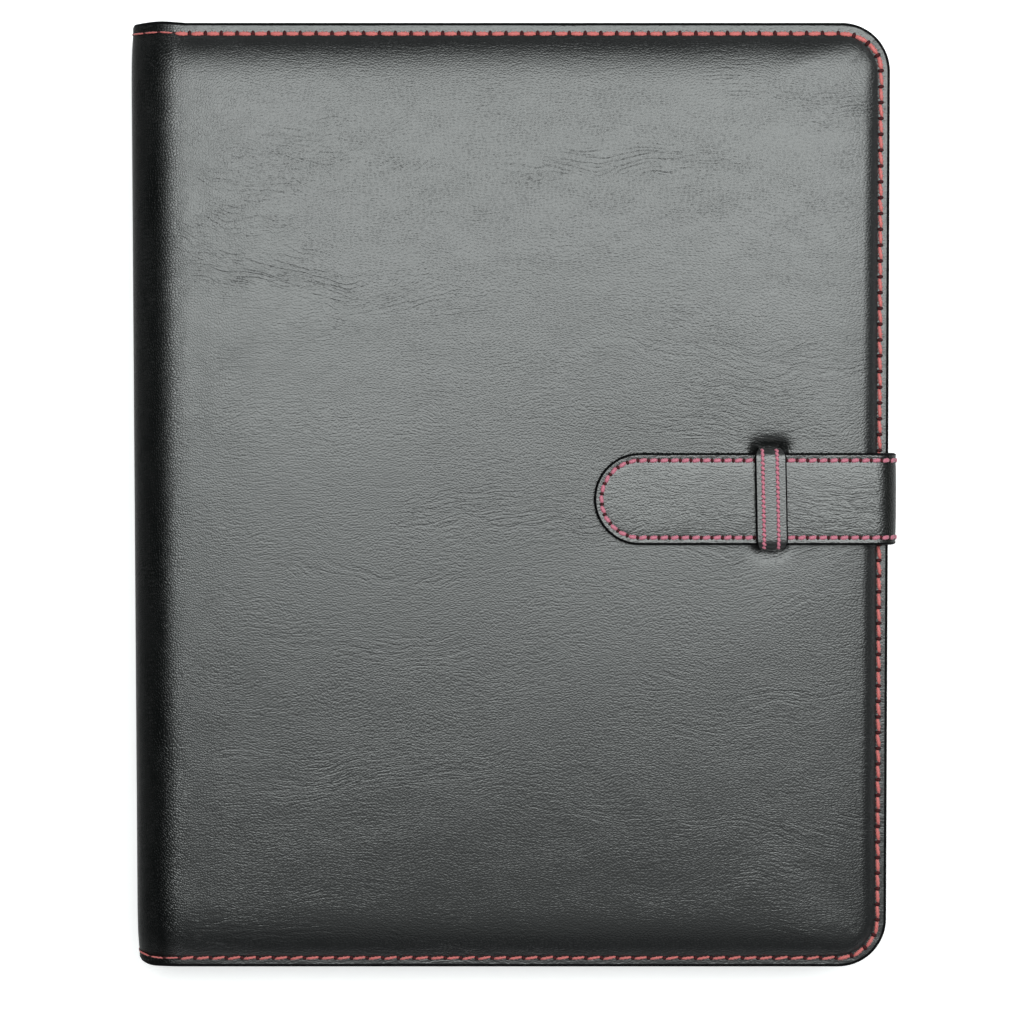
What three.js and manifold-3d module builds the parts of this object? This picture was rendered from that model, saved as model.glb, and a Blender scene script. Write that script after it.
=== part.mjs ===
// A display book with padded leather covers, closed and lying on its back cover.
// Millimetres. +X runs from the spine to the fore-edge, +Y to the head, +Z out of the front cover.
// A strap from the back cover folds round the fore-edge and slides under a keeper on the front cover.
import * as THREE from 'three';
import { mergeVertices } from 'three/addons/utils/BufferGeometryUtils.js';
import Module from 'manifold-3d';

const wasm = await Module();
wasm.setup();

// Clearance between pieces that touch on the real book.
const fit = 0.3;

// Covers, seen from the front.
const coverWidth = 250;
const coverHeight = 315;
const cornerRadius = 16;

// Layers of a cover, from the outside in.
const skinThickness = 0.9;
const foamThickness = 2.4;
const boardThickness = 2;
const liningThickness = 0.8;

// The sewn edge is flat. The pad rises steeply beside it, then gently to its crown.
const flangeWidth = 5;
const slopeWidth = 5;
const crownReach = 60;
const steepShare = 0.86;
const liningInset = 0.5;
const boardInset = 8.5;
const foamInset = 9.2;
const seamInset = 3;
const threadWidth = 0.7;
const threadHeight = 0.3;
const threadLift = 0.2;

// Spine.
const spineRadius = 8.5;
const spinePinch = 1.2;
const spineEndInset = 11.5;
const spineBoardMargin = 1;
const bindingDepth = 4.4;
const bindingEndMargin = 7.5;

// Leaves: clear pockets, each with a black paper sheet inside.
const leafCount = 10;
const filmThickness = 0.2;
const sheetThickness = 0.3;
const filmGap = 0.2;
const leafGap = 0.3;
const blockGap = 0.5;
const pocketSideMargin = 13.4;
const pocketEndMargin = 6;
const weldMargin = 12;
const sheetSidePlay = 2.5;
const sheetEndPlay = 3;

// Strap.
const strapWidth = 30;
const strapLayer = 0.8;
const strapOffset = -1.2;
const strapBend = 8;
const strapReach = 3.5;
const strapBackInset = 0.6;
const tongueLength = 91;
const anchorLength = 60;
const strapSeamInset = 2.3;
const strapThreadWidth = 0.5;
const recessWall = 2;
const recessMargin = 0.8;

// Keeper.
const keeperInset = 36.7;
const keeperWidth = 11;
const keeperBand = 1.4;
const keeperSideGap = 0.5;
const keeperHeadroom = 0.8;
const keeperShoulder = 3;
const keeperFoot = 7;
const keeperFootThickness = 1;
const keeperSeamOffset = 2.6;

// Derived sizes.
const coverThickness = skinThickness + foamThickness + boardThickness + liningThickness + 3 * fit;
const padRise = coverThickness - liningThickness - fit - skinThickness;
const boardDepth = skinThickness + foamThickness + 2 * fit;
const leafThickness = 2 * filmThickness + sheetThickness + 2 * filmGap;
const leafPitch = leafThickness + leafGap;
const leafBlock = leafCount * leafPitch - leafGap;
const bookThickness = 2 * (coverThickness + blockGap) + leafBlock;
const blockTop = bookThickness - coverThickness - blockGap;
const hingeStart = spineRadius + fit;
const spineBoardX = skinThickness + fit;
const spineLiningX = spineBoardX + boardThickness + fit;
const bindingX = spineLiningX + liningThickness + fit;
const bindingHeight = coverHeight - 2 * bindingEndMargin;
const leafStart = bindingX + bindingDepth + 2 * fit;
const pocketWidth = coverWidth - pocketSideMargin - leafStart;
const pocketHeight = coverHeight - 2 * pocketEndMargin;
const sheetWidth = pocketWidth - weldMargin - 2 * sheetSidePlay;
const sheetHeight = pocketHeight - 2 * sheetEndPlay;
const halfHeight = coverHeight / 2;
const strapThickness = 2 * strapLayer + fit;
const strapOuterX = coverWidth + strapReach;
const bendCentreX = strapOuterX - strapBend;
const tongueEnd = bendCentreX - fit;
const tipX = tongueEnd - tongueLength;
const anchorStart = tongueEnd - anchorLength;
const strapTop = bookThickness + fit + strapThickness;
const recessDepth = strapBackInset + strapThickness + fit;
const recessStart = anchorStart - recessMargin;
const recessHalf = strapWidth / 2 + recessMargin;
const keeperCentre = coverWidth - keeperInset;
const keeperInner = strapWidth / 2 + keeperSideGap;
const keeperOuter = keeperInner + keeperBand;
const keeperUnder = strapTop + keeperHeadroom;
const keeperTop = keeperUnder + keeperBand;
const keeperBase = bookThickness - boardDepth + fit;

// Finishes.
const finishes = {
  leather: { color: 0x24262a, roughness: 0.45, metalness: 0 },
  lining: { color: 0x1b1b1d, roughness: 0.85, metalness: 0 },
  foam: { color: 0x8a8880, roughness: 0.95, metalness: 0 },
  board: { color: 0x77716a, roughness: 0.9, metalness: 0 },
  thread: { color: 0xb5584f, roughness: 0.6, metalness: 0 },
  film: { color: 0xdfe6e8, roughness: 0.15, metalness: 0, transparent: true, opacity: 0.3 },
  paper: { color: 0x121214, roughness: 0.9, metalness: 0 },
  plastic: { color: 0x141416, roughness: 0.5, metalness: 0 },
};

function piece(name, finish, geometry) {
  const mesh = new THREE.Mesh(geometry, new THREE.MeshStandardMaterial(finishes[finish]));
  mesh.name = name;
  return mesh;
}

// Solids for cutting and joining.
function toSolid(geometry) {
  const bare = geometry.clone();
  bare.deleteAttribute('normal');
  bare.deleteAttribute('uv');
  const merged = mergeVertices(bare, 1e-4);
  const mesh = new wasm.Mesh({
    numProp: 3,
    vertProperties: new Float32Array(merged.attributes.position.array),
    triVerts: new Uint32Array(merged.index.array),
  });
  return new wasm.Manifold(mesh);
}

function toGeometry(solid) {
  const mesh = solid.getMesh();
  const geometry = new THREE.BufferGeometry();
  geometry.setAttribute('position', new THREE.BufferAttribute(new Float32Array(mesh.vertProperties), 3));
  geometry.setIndex(new THREE.BufferAttribute(new Uint32Array(mesh.triVerts), 1));
  geometry.computeVertexNormals();
  return geometry;
}

function block(x0, x1, y0, y1, z0, z1) {
  const geometry = new THREE.BoxGeometry(x1 - x0, y1 - y0, z1 - z0);
  return geometry.translate((x0 + x1) / 2, (y0 + y1) / 2, (z0 + z1) / 2);
}

function slab(shape, z0, z1) {
  const options = { depth: z1 - z0, bevelEnabled: false, curveSegments: 8 };
  return new THREE.ExtrudeGeometry(shape, options).translate(0, 0, z0);
}

// A profile drawn in X and Z, drawn out along Y.
function barAlongY(shape, width, centreY) {
  const options = { depth: width, bevelEnabled: false, curveSegments: 8 };
  const geometry = new THREE.ExtrudeGeometry(shape, options).rotateX(Math.PI / 2);
  return geometry.translate(0, centreY + width / 2, 0);
}

// A profile drawn in Y and Z, drawn out along X.
function barAlongX(shape, width, centreX, centreY) {
  const options = { depth: width, bevelEnabled: false, curveSegments: 6 };
  const turn = new THREE.Matrix4().makeBasis(
    new THREE.Vector3(0, 1, 0),
    new THREE.Vector3(0, 0, 1),
    new THREE.Vector3(1, 0, 0),
  );
  const geometry = new THREE.ExtrudeGeometry(shape, options).applyMatrix4(turn);
  return geometry.translate(centreX - width / 2, centreY, 0);
}

// Points round the three sewn edges of a cover, from the tail of the spine side to its head.
function edgePoints(inset) {
  const steps = 8;
  const radius = Math.max(cornerRadius - inset, 2);
  const right = coverWidth - inset;
  const top = halfHeight - inset;
  const points = [new THREE.Vector2(hingeStart, -top)];
  for (const side of [-1, 1]) {
    for (let k = 0; k <= steps; k += 1) {
      const turn = (Math.PI / 2) * (side < 0 ? k / steps - 1 : k / steps);
      const x = right - radius + radius * Math.cos(turn);
      const y = side * (top - radius) + radius * Math.sin(turn);
      points.push(new THREE.Vector2(x, y));
    }
  }
  points.push(new THREE.Vector2(hingeStart, top));
  return points;
}

function coverOutline(inset) {
  return new THREE.Shape(edgePoints(inset));
}

// A thin band that follows the three sewn edges.
function edgeBand(inset, width) {
  const outer = edgePoints(inset - width / 2);
  const inner = edgePoints(inset + width / 2);
  return new THREE.Shape([...outer, ...inner.reverse()]);
}

// How far in from the sewn edges a point of a cover lies.
function edgeDistance(x, y) {
  const fromSide = coverWidth - x;
  const fromEnd = halfHeight - Math.abs(y);
  if (fromSide < cornerRadius && fromEnd < cornerRadius) {
    return cornerRadius - Math.hypot(cornerRadius - fromSide, cornerRadius - fromEnd);
  }
  return Math.min(fromSide, fromEnd);
}

// The share of its full rise that the pad has at a distance from the edge.
function padShare(distance) {
  const steep = THREE.MathUtils.clamp((distance - flangeWidth) / slopeWidth, 0, 1);
  const flat = THREE.MathUtils.clamp(
    (distance - flangeWidth - slopeWidth) / (crownReach - flangeWidth - slopeWidth), 0, 1);
  return steepShare * Math.sin((steep * Math.PI) / 2) + (1 - steepShare) * Math.sin((flat * Math.PI) / 2);
}

// The outer face of a cover is at depth 0 on its crown and at padRise on its flange.
function outerDepth(distance) {
  return padRise * (1 - padShare(distance));
}

// The inner face of the skin, a skin's thickness in along the normal.
function innerDepth(distance) {
  const step = 0.05;
  const slope = (outerDepth(distance) - outerDepth(distance + step)) / step;
  const onFlange = distance <= flangeWidth;
  return outerDepth(distance) + skinThickness * (onFlange ? 1 : Math.hypot(1, slope));
}

// The seat for the strap: a shallow tray in the skin that runs out at the fore-edge.
function withRecess(depth, x, y, floor, centreY) {
  const outside = Math.max(Math.abs(y - centreY) - recessHalf, recessStart - x, 0);
  const share = Math.min(outside / recessWall, 1);
  return Math.max(depth, floor + (depth - floor) * share);
}

// Grid lines at set distances in from an edge, closer together where the pad is steep.
const profileSteps = [
  0,
  flangeWidth,
  flangeWidth + slopeWidth * 0.25,
  flangeWidth + slopeWidth * 0.5,
  flangeWidth + slopeWidth * 0.75,
  flangeWidth + slopeWidth,
  flangeWidth + slopeWidth + 3,
  cornerRadius + 2,
  crownReach * 0.5,
  crownReach,
];

function gridLines(low, high, values) {
  const inside = values.filter((value) => value > low + 0.05 && value < high - 0.05);
  const sorted = [low, ...inside.sort((a, b) => a - b), high];
  return sorted.filter((value, k) => k === 0 || value - sorted[k - 1] > 0.05);
}

// A closed sheet between two height functions over a grid.
function closedSheet(xs, ys, low, high) {
  const positions = [];
  const index = [];
  const layer = xs.length * ys.length;
  for (const height of [low, high]) {
    for (const x of xs) {
      for (const y of ys) {
        positions.push(x, y, height(x, y));
      }
    }
  }
  const lower = (i, j) => i * ys.length + j;
  const upper = (i, j) => layer + lower(i, j);
  const quad = (a, b, c, d) => index.push(a, b, c, a, c, d);
  const lastX = xs.length - 1;
  const lastY = ys.length - 1;
  for (let i = 0; i < lastX; i += 1) {
    for (let j = 0; j < lastY; j += 1) {
      quad(upper(i, j), upper(i + 1, j), upper(i + 1, j + 1), upper(i, j + 1));
      quad(lower(i, j + 1), lower(i + 1, j + 1), lower(i + 1, j), lower(i, j));
    }
    quad(lower(i, 0), lower(i + 1, 0), upper(i + 1, 0), upper(i, 0));
    quad(lower(i + 1, lastY), lower(i, lastY), upper(i, lastY), upper(i + 1, lastY));
  }
  for (let j = 0; j < lastY; j += 1) {
    quad(lower(0, j + 1), lower(0, j), upper(0, j), upper(0, j + 1));
    quad(lower(lastX, j), lower(lastX, j + 1), upper(lastX, j + 1), upper(lastX, j));
  }
  const geometry = new THREE.BufferGeometry();
  geometry.setAttribute('position', new THREE.BufferAttribute(new Float32Array(positions), 3));
  geometry.setIndex(index);
  geometry.computeVertexNormals();
  return geometry;
}

// One cover, drawn with its outer face down. seat says whether the strap is sewn into it.
function cover(side, seat, keeperY) {
  const seatY = strapOffset;
  const seatXs = seat ? [recessStart - recessWall, recessStart] : [];
  const seatYs = seat ? [-1, 1].flatMap((k) => [
    seatY + k * recessHalf,
    seatY + k * (recessHalf + recessWall),
  ]) : [];
  const fromRight = profileSteps.map((step) => coverWidth - step);
  const fromEnds = profileSteps.flatMap((step) => [halfHeight - step, step - halfHeight]);
  const outer = (x, y) => {
    const depth = outerDepth(edgeDistance(x, y));
    return seat ? withRecess(depth, x, y, recessDepth, seatY) : depth;
  };
  const inner = (x, y) => {
    const depth = innerDepth(edgeDistance(x, y));
    return seat ? withRecess(depth, x, y, recessDepth + skinThickness, seatY) : depth;
  };

  const xs = gridLines(hingeStart, coverWidth, [...fromRight, ...seatXs]);
  const ys = gridLines(-halfHeight, halfHeight, [...fromEnds, ...seatYs, 0]);
  const mouldFloor = -1;
  const outline = toSolid(slab(coverOutline(0), mouldFloor, coverThickness));
  let skin = toSolid(closedSheet(xs, ys, outer, inner)).intersect(outline);

  // The foam fills what is left between the skin and the board.
  const foamBlock = toSolid(slab(coverOutline(foamInset), 0, boardDepth - fit));
  const underSkin = toSolid(closedSheet(xs, ys, () => mouldFloor, (x, y) => inner(x, y) + fit));
  let foam = foamBlock.subtract(underSkin);

  if (!seat) {
    const halfSlit = keeperWidth / 2 + fit;
    for (const k of [-1, 1]) {
      const ends = [k * (keeperInner - fit), k * (keeperOuter + fit)].sort((a, b) => a - b);
      skin = skin.subtract(toSolid(block(
        keeperCentre - halfSlit, keeperCentre + halfSlit,
        keeperY + ends[0], keeperY + ends[1], mouldFloor, coverThickness)));
    }
    const edge = keeperOuter + 2 * fit;
    foam = foam.subtract(toSolid(block(
      keeperCentre - halfSlit - fit, keeperCentre + halfSlit + fit,
      keeperY - edge, keeperY + edge, mouldFloor, coverThickness)));
  }

  const group = new THREE.Group();
  group.add(
    piece(`${side}_outer_skin`, 'leather', toGeometry(skin)),
    piece(`${side}_foam_pad`, 'foam', toGeometry(foam)),
    piece(`${side}_board`, 'board',
      slab(coverOutline(boardInset), boardDepth, boardDepth + boardThickness)),
    piece(`${side}_lining`, 'lining',
      slab(coverOutline(liningInset), coverThickness - liningThickness, coverThickness)),
    piece(`${side}_seam_thread`, 'thread', slab(
      edgeBand(seamInset, threadWidth), padRise - threadLift - threadHeight, padRise - threadLift)),
  );
  return group;
}

// Points round the spine's C-shaped section, drop in from the crown and pinch in from the face.
function spineArc(grow, drop, pinch) {
  const steps = 6;
  const rise = spineRadius * (1 - (2 * drop) / bookThickness);
  const reach = spineRadius - pinch + grow;
  const points = [];
  for (const side of [-1, 1]) {
    const centreZ = side < 0 ? drop + rise : bookThickness - drop - rise;
    for (let k = 0; k <= steps; k += 1) {
      const turn = (Math.PI / 2) * (side < 0 ? 1 - k / steps : k / steps);
      const x = spineRadius - reach * Math.cos(turn);
      const z = centreZ + side * (rise + grow) * Math.sin(turn);
      points.push(new THREE.Vector2(x, z));
    }
  }
  return points;
}

function spineSection(outerGrow, innerGrow, drop, pinch) {
  return [...spineArc(outerGrow, drop, pinch), ...spineArc(innerGrow, drop, pinch).reverse()];
}

// A closed loft through clockwise sections that have the same number of points.
function loftAlongY(sections) {
  const count = sections[0].points.length;
  const positions = sections.flatMap(({ y, points }) => points.flatMap((p) => [p.x, y, p.y]));
  const index = [];
  for (let s = 0; s < sections.length - 1; s += 1) {
    for (let k = 0; k < count; k += 1) {
      const next = (k + 1) % count;
      const a = s * count + k;
      const b = s * count + next;
      index.push(a, b, b + count, a, b + count, a + count);
    }
  }
  const first = sections[0].points;
  const last = (sections.length - 1) * count;
  for (const [a, b, c] of THREE.ShapeUtils.triangulateShape(first, [])) {
    index.push(a, b, c, last + c, last + b, last + a);
  }
  const geometry = new THREE.BufferGeometry();
  geometry.setAttribute('position', new THREE.BufferAttribute(new Float32Array(positions), 3));
  geometry.setIndex(index);
  geometry.computeVertexNormals();
  return geometry;
}

function pinchAt(distance) {
  return spinePinch * (1 - Math.min(padShare(distance) / steepShare, 1));
}

function spine() {
  const middle = bookThickness / 2;
  const boardHalf = middle - spineRadius - spineBoardMargin;
  const endY = halfHeight - spineEndInset;
  const layer = (x, thickness) => block(
    x, x + thickness, -endY, endY, middle - boardHalf, middle + boardHalf);
  const ends = profileSteps.map((step) => halfHeight - step);
  const sections = gridLines(-halfHeight, halfHeight, [...ends, ...ends.map((y) => -y)]).map((y) => {
    const distance = halfHeight - Math.abs(y);
    return { y, points: spineSection(0, -skinThickness, outerDepth(distance), pinchAt(distance)) };
  });
  const threadShape = new THREE.Shape(
    spineSection(threadLift + threadHeight, threadLift, padRise, spinePinch));
  const threadY = halfHeight - seamInset;

  const group = new THREE.Group();
  group.add(
    piece('spine_outer_skin', 'leather', loftAlongY(sections)),
    piece('spine_board', 'board', layer(spineBoardX, boardThickness)),
    piece('spine_lining', 'lining', layer(spineLiningX, liningThickness)),
    piece('binding_strip', 'plastic', block(
      bindingX, bindingX + bindingDepth, -bindingHeight / 2, bindingHeight / 2,
      bookThickness - blockTop, blockTop)),
    piece('spine_head_thread', 'thread', barAlongY(threadShape, threadWidth, threadY)),
    piece('spine_tail_thread', 'thread', barAlongY(threadShape, threadWidth, -threadY)),
  );
  return group;
}

// One leaf: two clear films welded at their edges on the real leaf, with a paper sheet between them.
function leaf(number) {
  const label = String(number).padStart(2, '0');
  const base = blockTop - (number - 1) * leafPitch - leafThickness;
  const end = leafStart + pocketWidth;
  const pocketHalf = pocketHeight / 2;
  const sheetHalf = sheetHeight / 2;
  const sheetEnd = end - sheetSidePlay;
  const sheetBase = base + filmThickness + filmGap;
  const group = new THREE.Group();
  group.add(
    piece(`pocket_${label}_back_film`, 'film',
      block(leafStart, end, -pocketHalf, pocketHalf, base, base + filmThickness)),
    piece(`insert_sheet_${label}`, 'paper', block(
      sheetEnd - sheetWidth, sheetEnd, -sheetHalf, sheetHalf, sheetBase, sheetBase + sheetThickness)),
    piece(`pocket_${label}_front_film`, 'film', block(
      leafStart + weldMargin, end, -pocketHalf, pocketHalf,
      base + leafThickness - filmThickness, base + leafThickness)),
  );
  return group;
}

// A quarter bend of the strap round the fore-edge, both layers together.
function strapBendBar(centreZ, fromAngle, toAngle) {
  const shape = new THREE.Shape();
  shape.absarc(bendCentreX, centreZ, strapBend, fromAngle, toAngle, false);
  shape.absarc(bendCentreX, centreZ, strapBend - strapThickness, toAngle, fromAngle, true);
  return barAlongY(shape, strapWidth, strapOffset);
}

// A stitched box, as a closed ring.
function stitchedBox(x0, x1, halfY, z0, z1) {
  const corners = (shrink) => [
    new THREE.Vector2(x0 + shrink, shrink - halfY),
    new THREE.Vector2(x1 - shrink, shrink - halfY),
    new THREE.Vector2(x1 - shrink, halfY - shrink),
    new THREE.Vector2(x0 + shrink, halfY - shrink),
  ];
  const ring = new THREE.Shape(corners(0));
  ring.holes.push(new THREE.Path(corners(strapThreadWidth).reverse()));
  return slab(ring, z0, z1).translate(0, strapOffset, 0);
}

// The flat tongue, with a round tip, set in from its edge.
function tongueShape(inset) {
  const radius = strapWidth / 2 - inset;
  const shape = new THREE.Shape();
  shape.moveTo(tongueEnd, radius);
  shape.lineTo(tipX + strapWidth / 2, radius);
  shape.absarc(tipX + strapWidth / 2, 0, radius, Math.PI / 2, Math.PI * 1.5, false);
  shape.lineTo(tongueEnd, -radius);
  return shape;
}

function tongueThread() {
  const outer = tongueShape(strapSeamInset - strapThreadWidth / 2).getPoints(12);
  const inner = tongueShape(strapSeamInset + strapThreadWidth / 2).getPoints(12);
  const base = strapTop + threadLift;
  return slab(new THREE.Shape([...outer, ...inner.reverse()]), base, base + threadHeight)
    .translate(0, strapOffset, 0);
}

function strapAnchor() {
  const half = strapWidth / 2;
  const layers = [strapBackInset, strapBackInset + strapLayer + fit];
  const sheet = (base) => block(
    anchorStart, tongueEnd, strapOffset - half, strapOffset + half, base, base + strapLayer);
  const threadTop = strapBackInset - threadLift / 2;
  const group = new THREE.Group();
  group.add(
    piece('strap_anchor_face', 'leather', sheet(layers[0])),
    piece('strap_anchor_lining', 'leather', sheet(layers[1])),
    piece('strap_anchor_thread', 'thread', stitchedBox(
      anchorStart + strapSeamInset, tongueEnd - strapSeamInset, half - strapSeamInset,
      threadTop - threadHeight, threadTop)),
  );
  return group;
}

function strapSide() {
  const low = strapBackInset + strapBend;
  const high = strapTop - strapBend;
  const half = strapWidth / 2;
  const sheet = (outerX) => block(
    outerX - strapLayer, outerX, strapOffset - half, strapOffset + half, low + fit, high - fit);
  const threadX = strapOuterX + threadLift / 2;
  const thread = (side) => {
    const y = strapOffset + side * (half - strapSeamInset);
    return block(
      threadX, threadX + threadHeight,
      y - strapThreadWidth / 2, y + strapThreadWidth / 2, low + fit, high - fit);
  };
  const group = new THREE.Group();
  group.add(
    piece('strap_lower_bend', 'leather', strapBendBar(low, -Math.PI / 2, 0)),
    piece('strap_side_face', 'leather', sheet(strapOuterX)),
    piece('strap_side_lining', 'leather', sheet(strapOuterX - strapLayer - fit)),
    piece('strap_side_head_thread', 'thread', thread(1)),
    piece('strap_side_tail_thread', 'thread', thread(-1)),
    piece('strap_upper_bend', 'leather', strapBendBar(high, 0, Math.PI / 2)),
  );
  return group;
}

function strapTongue() {
  const faceBase = strapTop - strapLayer;
  const liningBase = bookThickness + fit;
  const group = new THREE.Group();
  group.add(
    piece('strap_tongue_face', 'leather',
      slab(tongueShape(0), faceBase, faceBase + strapLayer).translate(0, strapOffset, 0)),
    piece('strap_tongue_lining', 'leather',
      slab(tongueShape(0), liningBase, liningBase + strapLayer).translate(0, strapOffset, 0)),
    piece('strap_tongue_thread', 'thread', tongueThread()),
  );
  return group;
}

// The keeper is a stiff loop: a bridge over the strap, two legs through slits, and feet under the foam.
function keeper() {
  const innerShoulder = keeperShoulder - keeperBand;
  const footTop = keeperBase + keeperFootThickness;
  const footEnd = keeperInner - keeperFoot;
  const shape = new THREE.Shape();
  shape.moveTo(-footEnd, keeperBase);
  shape.lineTo(-keeperOuter, keeperBase);
  shape.absarc(keeperShoulder - keeperOuter, keeperTop - keeperShoulder, keeperShoulder,
    Math.PI, Math.PI / 2, true);
  shape.absarc(keeperOuter - keeperShoulder, keeperTop - keeperShoulder, keeperShoulder,
    Math.PI / 2, 0, true);
  shape.lineTo(keeperOuter, keeperBase);
  shape.lineTo(footEnd, keeperBase);
  shape.lineTo(footEnd, footTop);
  shape.lineTo(keeperInner, footTop);
  shape.absarc(keeperInner - innerShoulder, keeperUnder - innerShoulder, innerShoulder,
    0, Math.PI / 2, false);
  shape.absarc(innerShoulder - keeperInner, keeperUnder - innerShoulder, innerShoulder,
    Math.PI / 2, Math.PI, false);
  shape.lineTo(-keeperInner, footTop);
  shape.lineTo(-footEnd, footTop);

  const threadBase = keeperTop + threadLift / 2;
  const group = new THREE.Group();
  group.add(
    piece('keeper_loop', 'leather', barAlongX(shape, keeperWidth, keeperCentre, strapOffset)),
    piece('keeper_thread', 'thread', stitchedBox(
      keeperCentre - keeperSeamOffset, keeperCentre + keeperSeamOffset, keeperOuter - keeperShoulder,
      threadBase, threadBase + threadHeight)),
  );
  return group;
}

const book = new THREE.Group();
book.add(cover('back', true, 0));

// The front cover is the same make turned over, so its own Y runs to the tail.
const frontCover = cover('front', false, -strapOffset);
frontCover.rotation.x = Math.PI;
frontCover.position.z = bookThickness;
book.add(frontCover);

book.add(spine());
for (let number = 1; number <= leafCount; number += 1) {
  book.add(leaf(number));
}
book.add(strapAnchor(), strapSide(), strapTongue(), keeper());

// The origin is under the middle of the book, on the plane that it lies on.
book.position.x = -(strapOuterX + threadLift / 2 + threadHeight) / 2;

export default book;
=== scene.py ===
# A display book with padded black leather covers, lying closed on its back cover.
# Metres. +X runs from the spine to the fore-edge, +Y to the head and +Z out of the front cover.
import math
import bpy
import numpy as np
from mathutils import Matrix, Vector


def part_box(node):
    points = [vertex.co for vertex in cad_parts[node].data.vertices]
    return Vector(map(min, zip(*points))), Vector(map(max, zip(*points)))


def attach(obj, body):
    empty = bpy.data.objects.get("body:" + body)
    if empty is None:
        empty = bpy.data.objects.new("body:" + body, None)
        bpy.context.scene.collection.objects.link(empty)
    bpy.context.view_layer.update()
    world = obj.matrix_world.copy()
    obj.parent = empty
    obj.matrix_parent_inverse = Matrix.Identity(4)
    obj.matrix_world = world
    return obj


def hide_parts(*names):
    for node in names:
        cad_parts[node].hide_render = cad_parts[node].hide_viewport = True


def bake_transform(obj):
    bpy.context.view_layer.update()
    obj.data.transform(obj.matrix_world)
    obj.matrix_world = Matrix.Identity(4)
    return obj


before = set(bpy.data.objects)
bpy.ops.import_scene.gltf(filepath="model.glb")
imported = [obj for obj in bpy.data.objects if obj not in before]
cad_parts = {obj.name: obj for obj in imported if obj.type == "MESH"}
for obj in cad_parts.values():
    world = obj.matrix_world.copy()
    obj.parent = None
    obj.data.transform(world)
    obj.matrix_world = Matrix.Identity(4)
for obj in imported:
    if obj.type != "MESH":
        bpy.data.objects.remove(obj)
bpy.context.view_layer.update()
mm = 0.001

# Camera
# A front view through a long lens, from a little towards the head, so that the head of the book
# is nearest. Its aim is a little towards the tail from the middle of the front cover.
scene = bpy.context.scene
scene.view_settings.view_transform = "Standard"
cover_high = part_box("front_outer_skin")[1]
spine_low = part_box("spine_outer_skin")[0]
book_top = cover_high.z
camera_distance = 797 * mm
camera_tilt = math.radians(1.7)
aim_to_fore_edge, aim_to_tail = 0.3 * mm, 4.7 * mm
camera_aim = ((spine_low.x + cover_high.x) / 2 + aim_to_fore_edge, -aim_to_tail, book_top)
camera_data = bpy.data.cameras.new("front_view")
camera_data.lens = 85
camera = bpy.data.objects.new("front_view", camera_data)
camera.location = (
    camera_aim[0],
    camera_aim[1] + camera_distance * math.sin(camera_tilt),
    camera_aim[2] + camera_distance * math.cos(camera_tilt),
)
camera.rotation_euler = (-camera_tilt, 0, 0)
scene.collection.objects.link(camera)
scene.camera = camera


# Studio
# A pale floor under the book, a dim room that is darkest beyond the spine, and a soft ceiling of
# panels that the leather mirrors. They are brightest over the head half and at its two sides, and
# they fade towards the tail.
def add_node(tree, kind, inputs=None, **settings):
    """A new node. inputs holds values, or sockets to link from, by the input's name or number."""
    node = tree.nodes.new(kind)
    for key, value in settings.items():
        setattr(node, key, value)
    for key, value in (inputs or {}).items():
        if isinstance(value, bpy.types.NodeSocket):
            tree.links.new(value, node.inputs[key])
        else:
            node.inputs[key].default_value = value
    return node


def new_material(name):
    """A material with a Principled BSDF, its tree and that shader."""
    material = bpy.data.materials.new(name)
    material.use_nodes = True
    tree = material.node_tree
    return material, tree, tree.nodes["Principled BSDF"]


def area_light(name, place, size, radiance):
    """A rectangular soft panel that faces the floor and glows with the same strength all over."""
    data = bpy.data.lights.new(name, "AREA")
    data.shape = "RECTANGLE"
    data.size, data.size_y = size
    data.energy = radiance * math.pi * size[0] * size[1]
    panel = bpy.data.objects.new(name, data)
    panel.location = place
    scene.collection.objects.link(panel)
    return data


def smooth_range(tree, value, low, high, start=0.0, end=1.0):
    """A value's way from low to high, turned into an eased way from start to end."""
    return add_node(tree, "ShaderNodeMapRange", {
        "Value": value, "From Min": low, "From Max": high, "To Min": start, "To Max": end},
        interpolation_type="SMOOTHSTEP").outputs["Result"]


def calculator(tree):
    """A function that adds a sum to a tree and gives its result."""
    def calc(operation, *values):
        return add_node(tree, "ShaderNodeMath", dict(enumerate(values)), operation=operation).outputs[0]

    return calc


panel_height = 1.0
panel_tint = (0.95, 1.0, 0.985)
panels = [  # name, left and right, tail side and head side, brightness
    ("panel_head_side", (-0.46, 0.7), (0.56, 0.9), 1.3),
    ("panel_far", (-0.46, 0.7), (0.35, 0.56), 4.1),
    ("panel_middle_left", (-0.46, -0.19), (0.15, 0.35), 6.0),
    ("panel_middle_inner", (-0.19, -0.1), (0.15, 0.35), 5.2),
    ("panel_middle", (-0.1, 0.13), (0.15, 0.35), 4.8),
    ("panel_middle_right", (0.13, 0.7), (0.15, 0.35), 5.7),
    ("panel_near_left", (-0.46, -0.19), (0.02, 0.15), 5.4),
    ("panel_near", (-0.19, 0.13), (0.02, 0.15), 4.2),
    ("panel_near_right", (0.13, 0.7), (0.02, 0.15), 4.7),
    ("panel_tail_left", (-0.46, -0.19), (-0.16, 0.02), 2.6),
    ("panel_tail", (-0.19, 0.7), (-0.16, 0.02), 2.1),
    ("panel_tail_side", (-0.46, 0.7), (-0.36, -0.16), 0.5),
    ("panel_tail_end", (-0.46, 0.7), (-0.9, -0.36), 0.28),
    ("panel_spine_side", (-0.8, -0.46), (-0.1, 0.56), 0.25),
    ("panel_fore_side", (0.7, 1.1), (-0.1, 0.27), 0.8),
    ("panel_corner", (0.7, 1.3), (0.27, 1.0), 2.4),
]
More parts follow.
